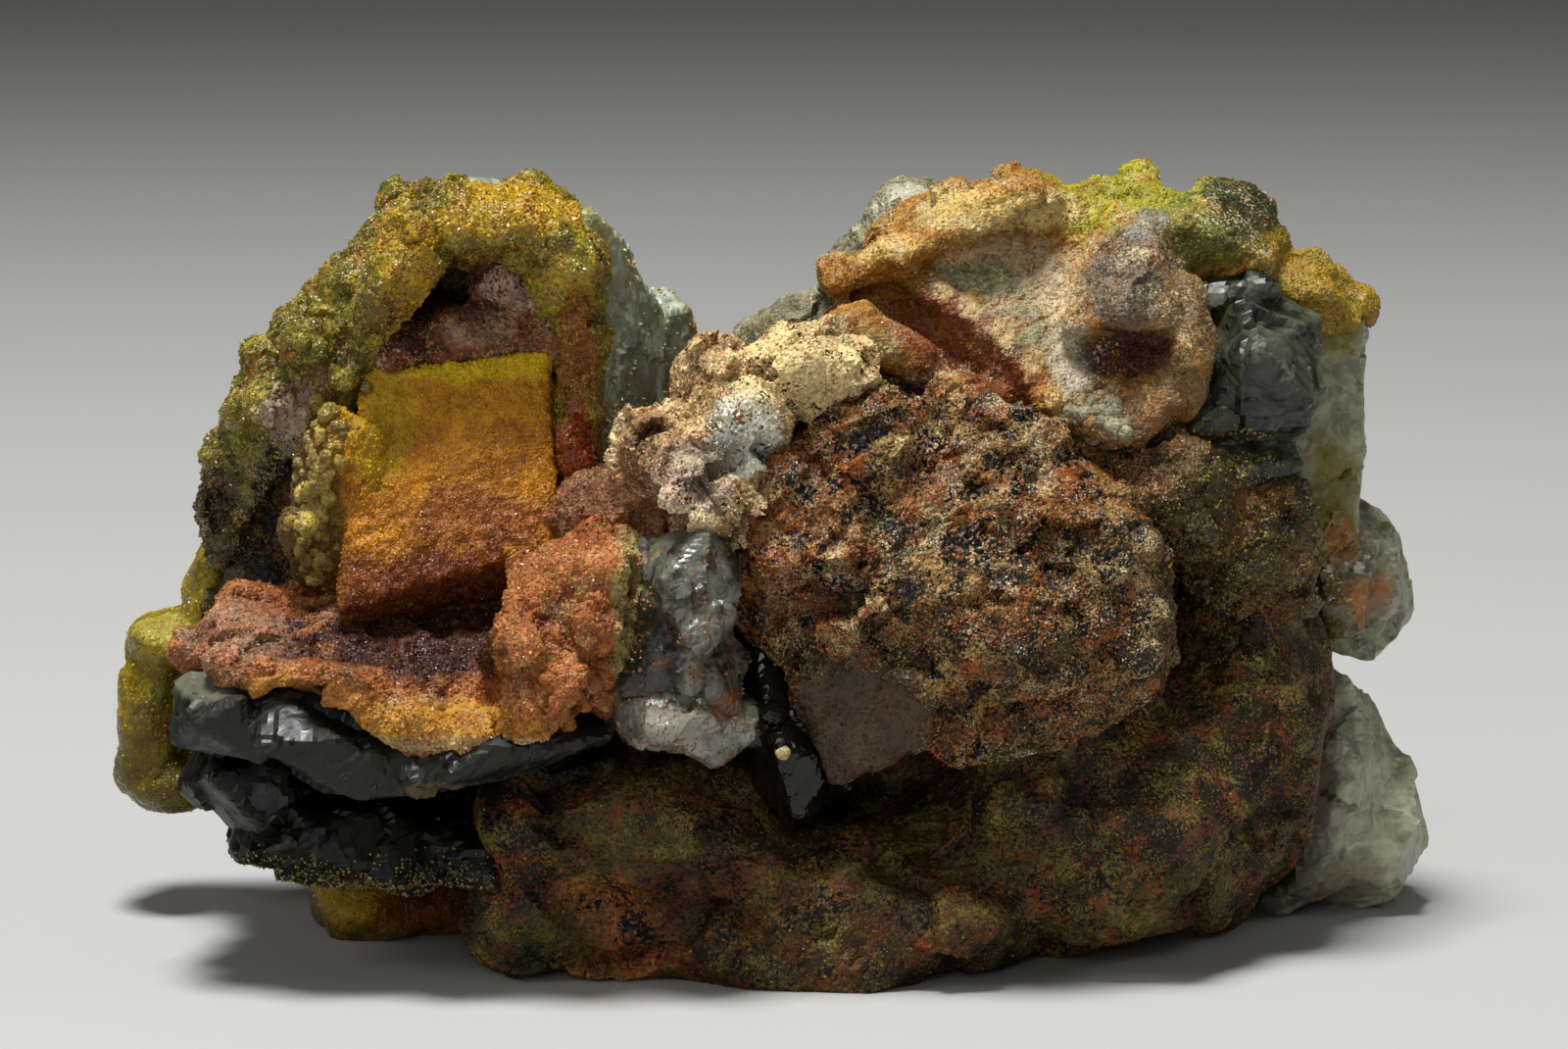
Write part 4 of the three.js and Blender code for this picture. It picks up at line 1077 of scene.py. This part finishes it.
finished("left_hump_nodules", left_beads, left_finish, "olive_crust")

# Shelf and foot: smoother yellow crust at the far left, and the yellow-brown lobe that
# the specimen also stands on.
SHELF_STAINS = (
    ("#cfc25c", (-37.0, 4.0, 18.4), (4.0, 5.0, 0.7), 0.4),
    ("#3c2e08", (-38.6, 4.0, 9.6), (3.0, 5.0, 4.2), 0.7),
    ("#2e2206", (-35.0, 2.0, 12.0), (1.6, 4.0, 3.0), 0.6),
)
shelf_finish = mineral(
    "yellow_crust", "#5e4a04", "#a08c0a", SHELF_STAINS, roughness=0.36, vary=0.22, mottle=0.35
)
shelf_sugar = mineral("yellow_sugar", "#7a6608", "#bcaa1c", roughness=0.35, loose=True)
FOOT_STAINS = (
    ("#a8860c", (-25.6, -3.0, 3.4), (3.0, 6.0, 2.0), 0.75),
    ("#6c3004", (-21.4, -4.0, 2.2), (3.0, 6.0, 1.6), 0.7),
)
foot_finish = mineral(
    "foot_crust", "#2a1604", "#7a5c0c", FOOT_STAINS, roughness=0.4, vary=0.25, mottle=0.35
)
shelf = crust_skin("left_shelf_crust", 0.34, 4, 261, chunk=0.12, knob=0.15, sugar=0.05)
shelf_grains = grains(shelf, 400, (0.06, 0.15), 114)
finished("left_shelf_face", shelf, shelf_finish, "yellow_crust", "left_shelf_crust")
finished("left_shelf_grains", shelf_grains, shelf_sugar, "yellow_crust")
foot = crust_skin("left_foot_lobe", 0.35, 4, 271, chunk=0.1, knob=0.3, sugar=0.05)
finished("left_foot_face", foot, foot_finish, "yellow_crust", "left_foot_lobe")

# Crust of the right hump: a beige ridge over an orange wall, a smooth beige slope with
# greenish bands and a curved terrace over a red-brown trough, a pinkish nose over a cavity
# darkened red-brown with painted shade, and a bright yellow cap with an olive block.
TERRACE = [(7.0, 42.8), (9.7, 40.3), (11.4, 39.3), (13.4, 37.9), (15.0, 36.2), (16.3, 34.2)]
RIDGE = [(3.7, 40.8), (10.0, 43.6), (16.6, 45.7)]
TERRACE_WIDTH = 1.0
TERRACE_HEIGHT = 0.8
RIDGE_WIDTH = 0.9
RIDGE_HEIGHT = 0.6
RIGHT_STAINS_AND_SHADE = (
    ("#96901a", (22.6, 2.0, 45.0), (8.0, 9.0, 3.6), 0.95),
    ("#4e5a28", (25.6, -2.0, 43.4), (4.4, 5.0, 2.4), 0.82),
    ("#907a18", (32.0, 2.0, 40.6), (6.0, 9.0, 4.6), 0.88),
    ("#262c14", (28.4, 1.6, 44.6), (2.8, 7.0, 2.4), 0.95),
    ("#d0bc7c", (13.0, -3.0, 45.2), (5.6, 6.0, 1.4), 0.88),
    ("#9c6a18", (11.4, -6.0, 42.6), (4.4, 5.0, 1.0), 0.7),
    ("#b8a580", (14.6, -6.0, 40.2), (4.6, 6.0, 3.4), 0.85),
    ("#6c7450", (12.0, -6.0, 40.9), (2.8, 6.0, 1.2), 0.8),
    ("#6c7450", (15.2, -8.0, 38.0), (1.5, 6.0, 2.0), 0.7),
    ("#8a5a12", (6.6, -6.0, 41.4), (3.0, 4.0, 1.8), 0.85),
    ("#743c1a", (9.6, -8.0, 38.2), (3.2, 6.0, 2.6), 0.9),
    ("#6a3414", (13.0, -9.0, 35.4), (3.2, 6.0, 2.4), 0.9),
    ("#c8a85c", (6.2, -6.0, 43.2), (3.2, 4.0, 0.8), 0.85),
    ("#c8a85c", (11.6, -6.0, 45.6), (4.4, 4.0, 0.9), 0.85),
    ("#a89460", (5.6, -9.0, 37.6), (2.4, 4.0, 1.4), 0.75),
    ("#a8a088", (17.8, -9.0, 36.6), (1.4, 4.0, 2.4), 0.9),
    ("#62594a", (21.8, -9.0, 41.2), (3.0, 5.0, 3.4), 0.9),
    ("#7c7c74", (22.6, -6.0, 44.4), (1.3, 4.0, 0.9), 0.8),
    ("#7e6844", (25.0, -9.0, 37.4), (2.4, 5.0, 4.4), 0.8),
    # painted shade in the cavity under the nose, red-brown
    ("#34100a", (21.0, -8.0, 37.0), (2.8, 6.0, 1.8), 0.92),
    ("#6e5236", (20.6, -9.0, 33.6), (4.0, 5.0, 1.8), 0.6),
    *(("#c0a26a", (x + 0.4, -8.0, z + 0.4), (0.7, 8.0, 0.7), 0.75) for x, z in TERRACE),
)
RIGHT_DUSTS = (("#8c5a22", 0.18, 2.0, 0.08), ("#b0a078", 0.18, 2.6, 0.12))
right_crust = crust_skin(
    "right_hump_crust", 0.31, 0, 281, fill=0.45, lump=0.1, chunk=0.2, knob=0.16, sugar=0.1
)
right_points = read_points(right_crust)
rim_rise = TERRACE_HEIGHT * np.clip(along(right_points, TERRACE, TERRACE_WIDTH) * 2, 0, 1)
rim_rise += RIDGE_HEIGHT * along(right_points, RIDGE, RIDGE_WIDTH)
rim_rise *= front_share(right_crust)
raise_by(right_crust, rim_rise)
right_finish = mineral(
    "right_hump_crust", "#743e0e", "#a87c34", RIGHT_STAINS_AND_SHADE, RIGHT_DUSTS, roughness=0.55
)
right_sugar = mineral(
    "right_hump_sugar", "#864c0e", "#b0883c", RIGHT_STAINS_AND_SHADE, roughness=0.5, vary=0.25, loose=True
)
right_grains = grains(right_crust, 11500, (0.06, 0.13), 115)
white_finish = mineral("white_crust", "#4c442e", "#948c70", roughness=0.6, mottle=0.8)
white_beads = beads([(17.4, 33.6), (19.0, 34.2), (20.6, 33.2), (19.0, 32.2)], 50, 0.4, (0.25, 0.6), 123)
finished("right_hump_crust_face", right_crust, right_finish, "orange_crust", "right_hump_crust")
finished("right_hump_grains", right_grains, right_sugar, "orange_crust")
finished("white_nodules", white_beads, white_finish, "beige_crust")

# Back crag: a rounded chunk of quartz, dusted beige and rust. It grew on the rock behind
# the ridge, and looks over it.
CRAG_STAINS = (("#bcb8a0", (8.6, 9.0, 43.4), (2.4, 4.0, 2.4), 0.7),)
crag = crust_skin("back_crag", 0.38, 2, 291, knob=0.2)
crag_finish = mineral("crag_crust", "#54482e", "#8c8668", CRAG_STAINS, roughness=0.55)
finished("back_crag_face", crag, crag_finish, "beige_crust", "back_crag")
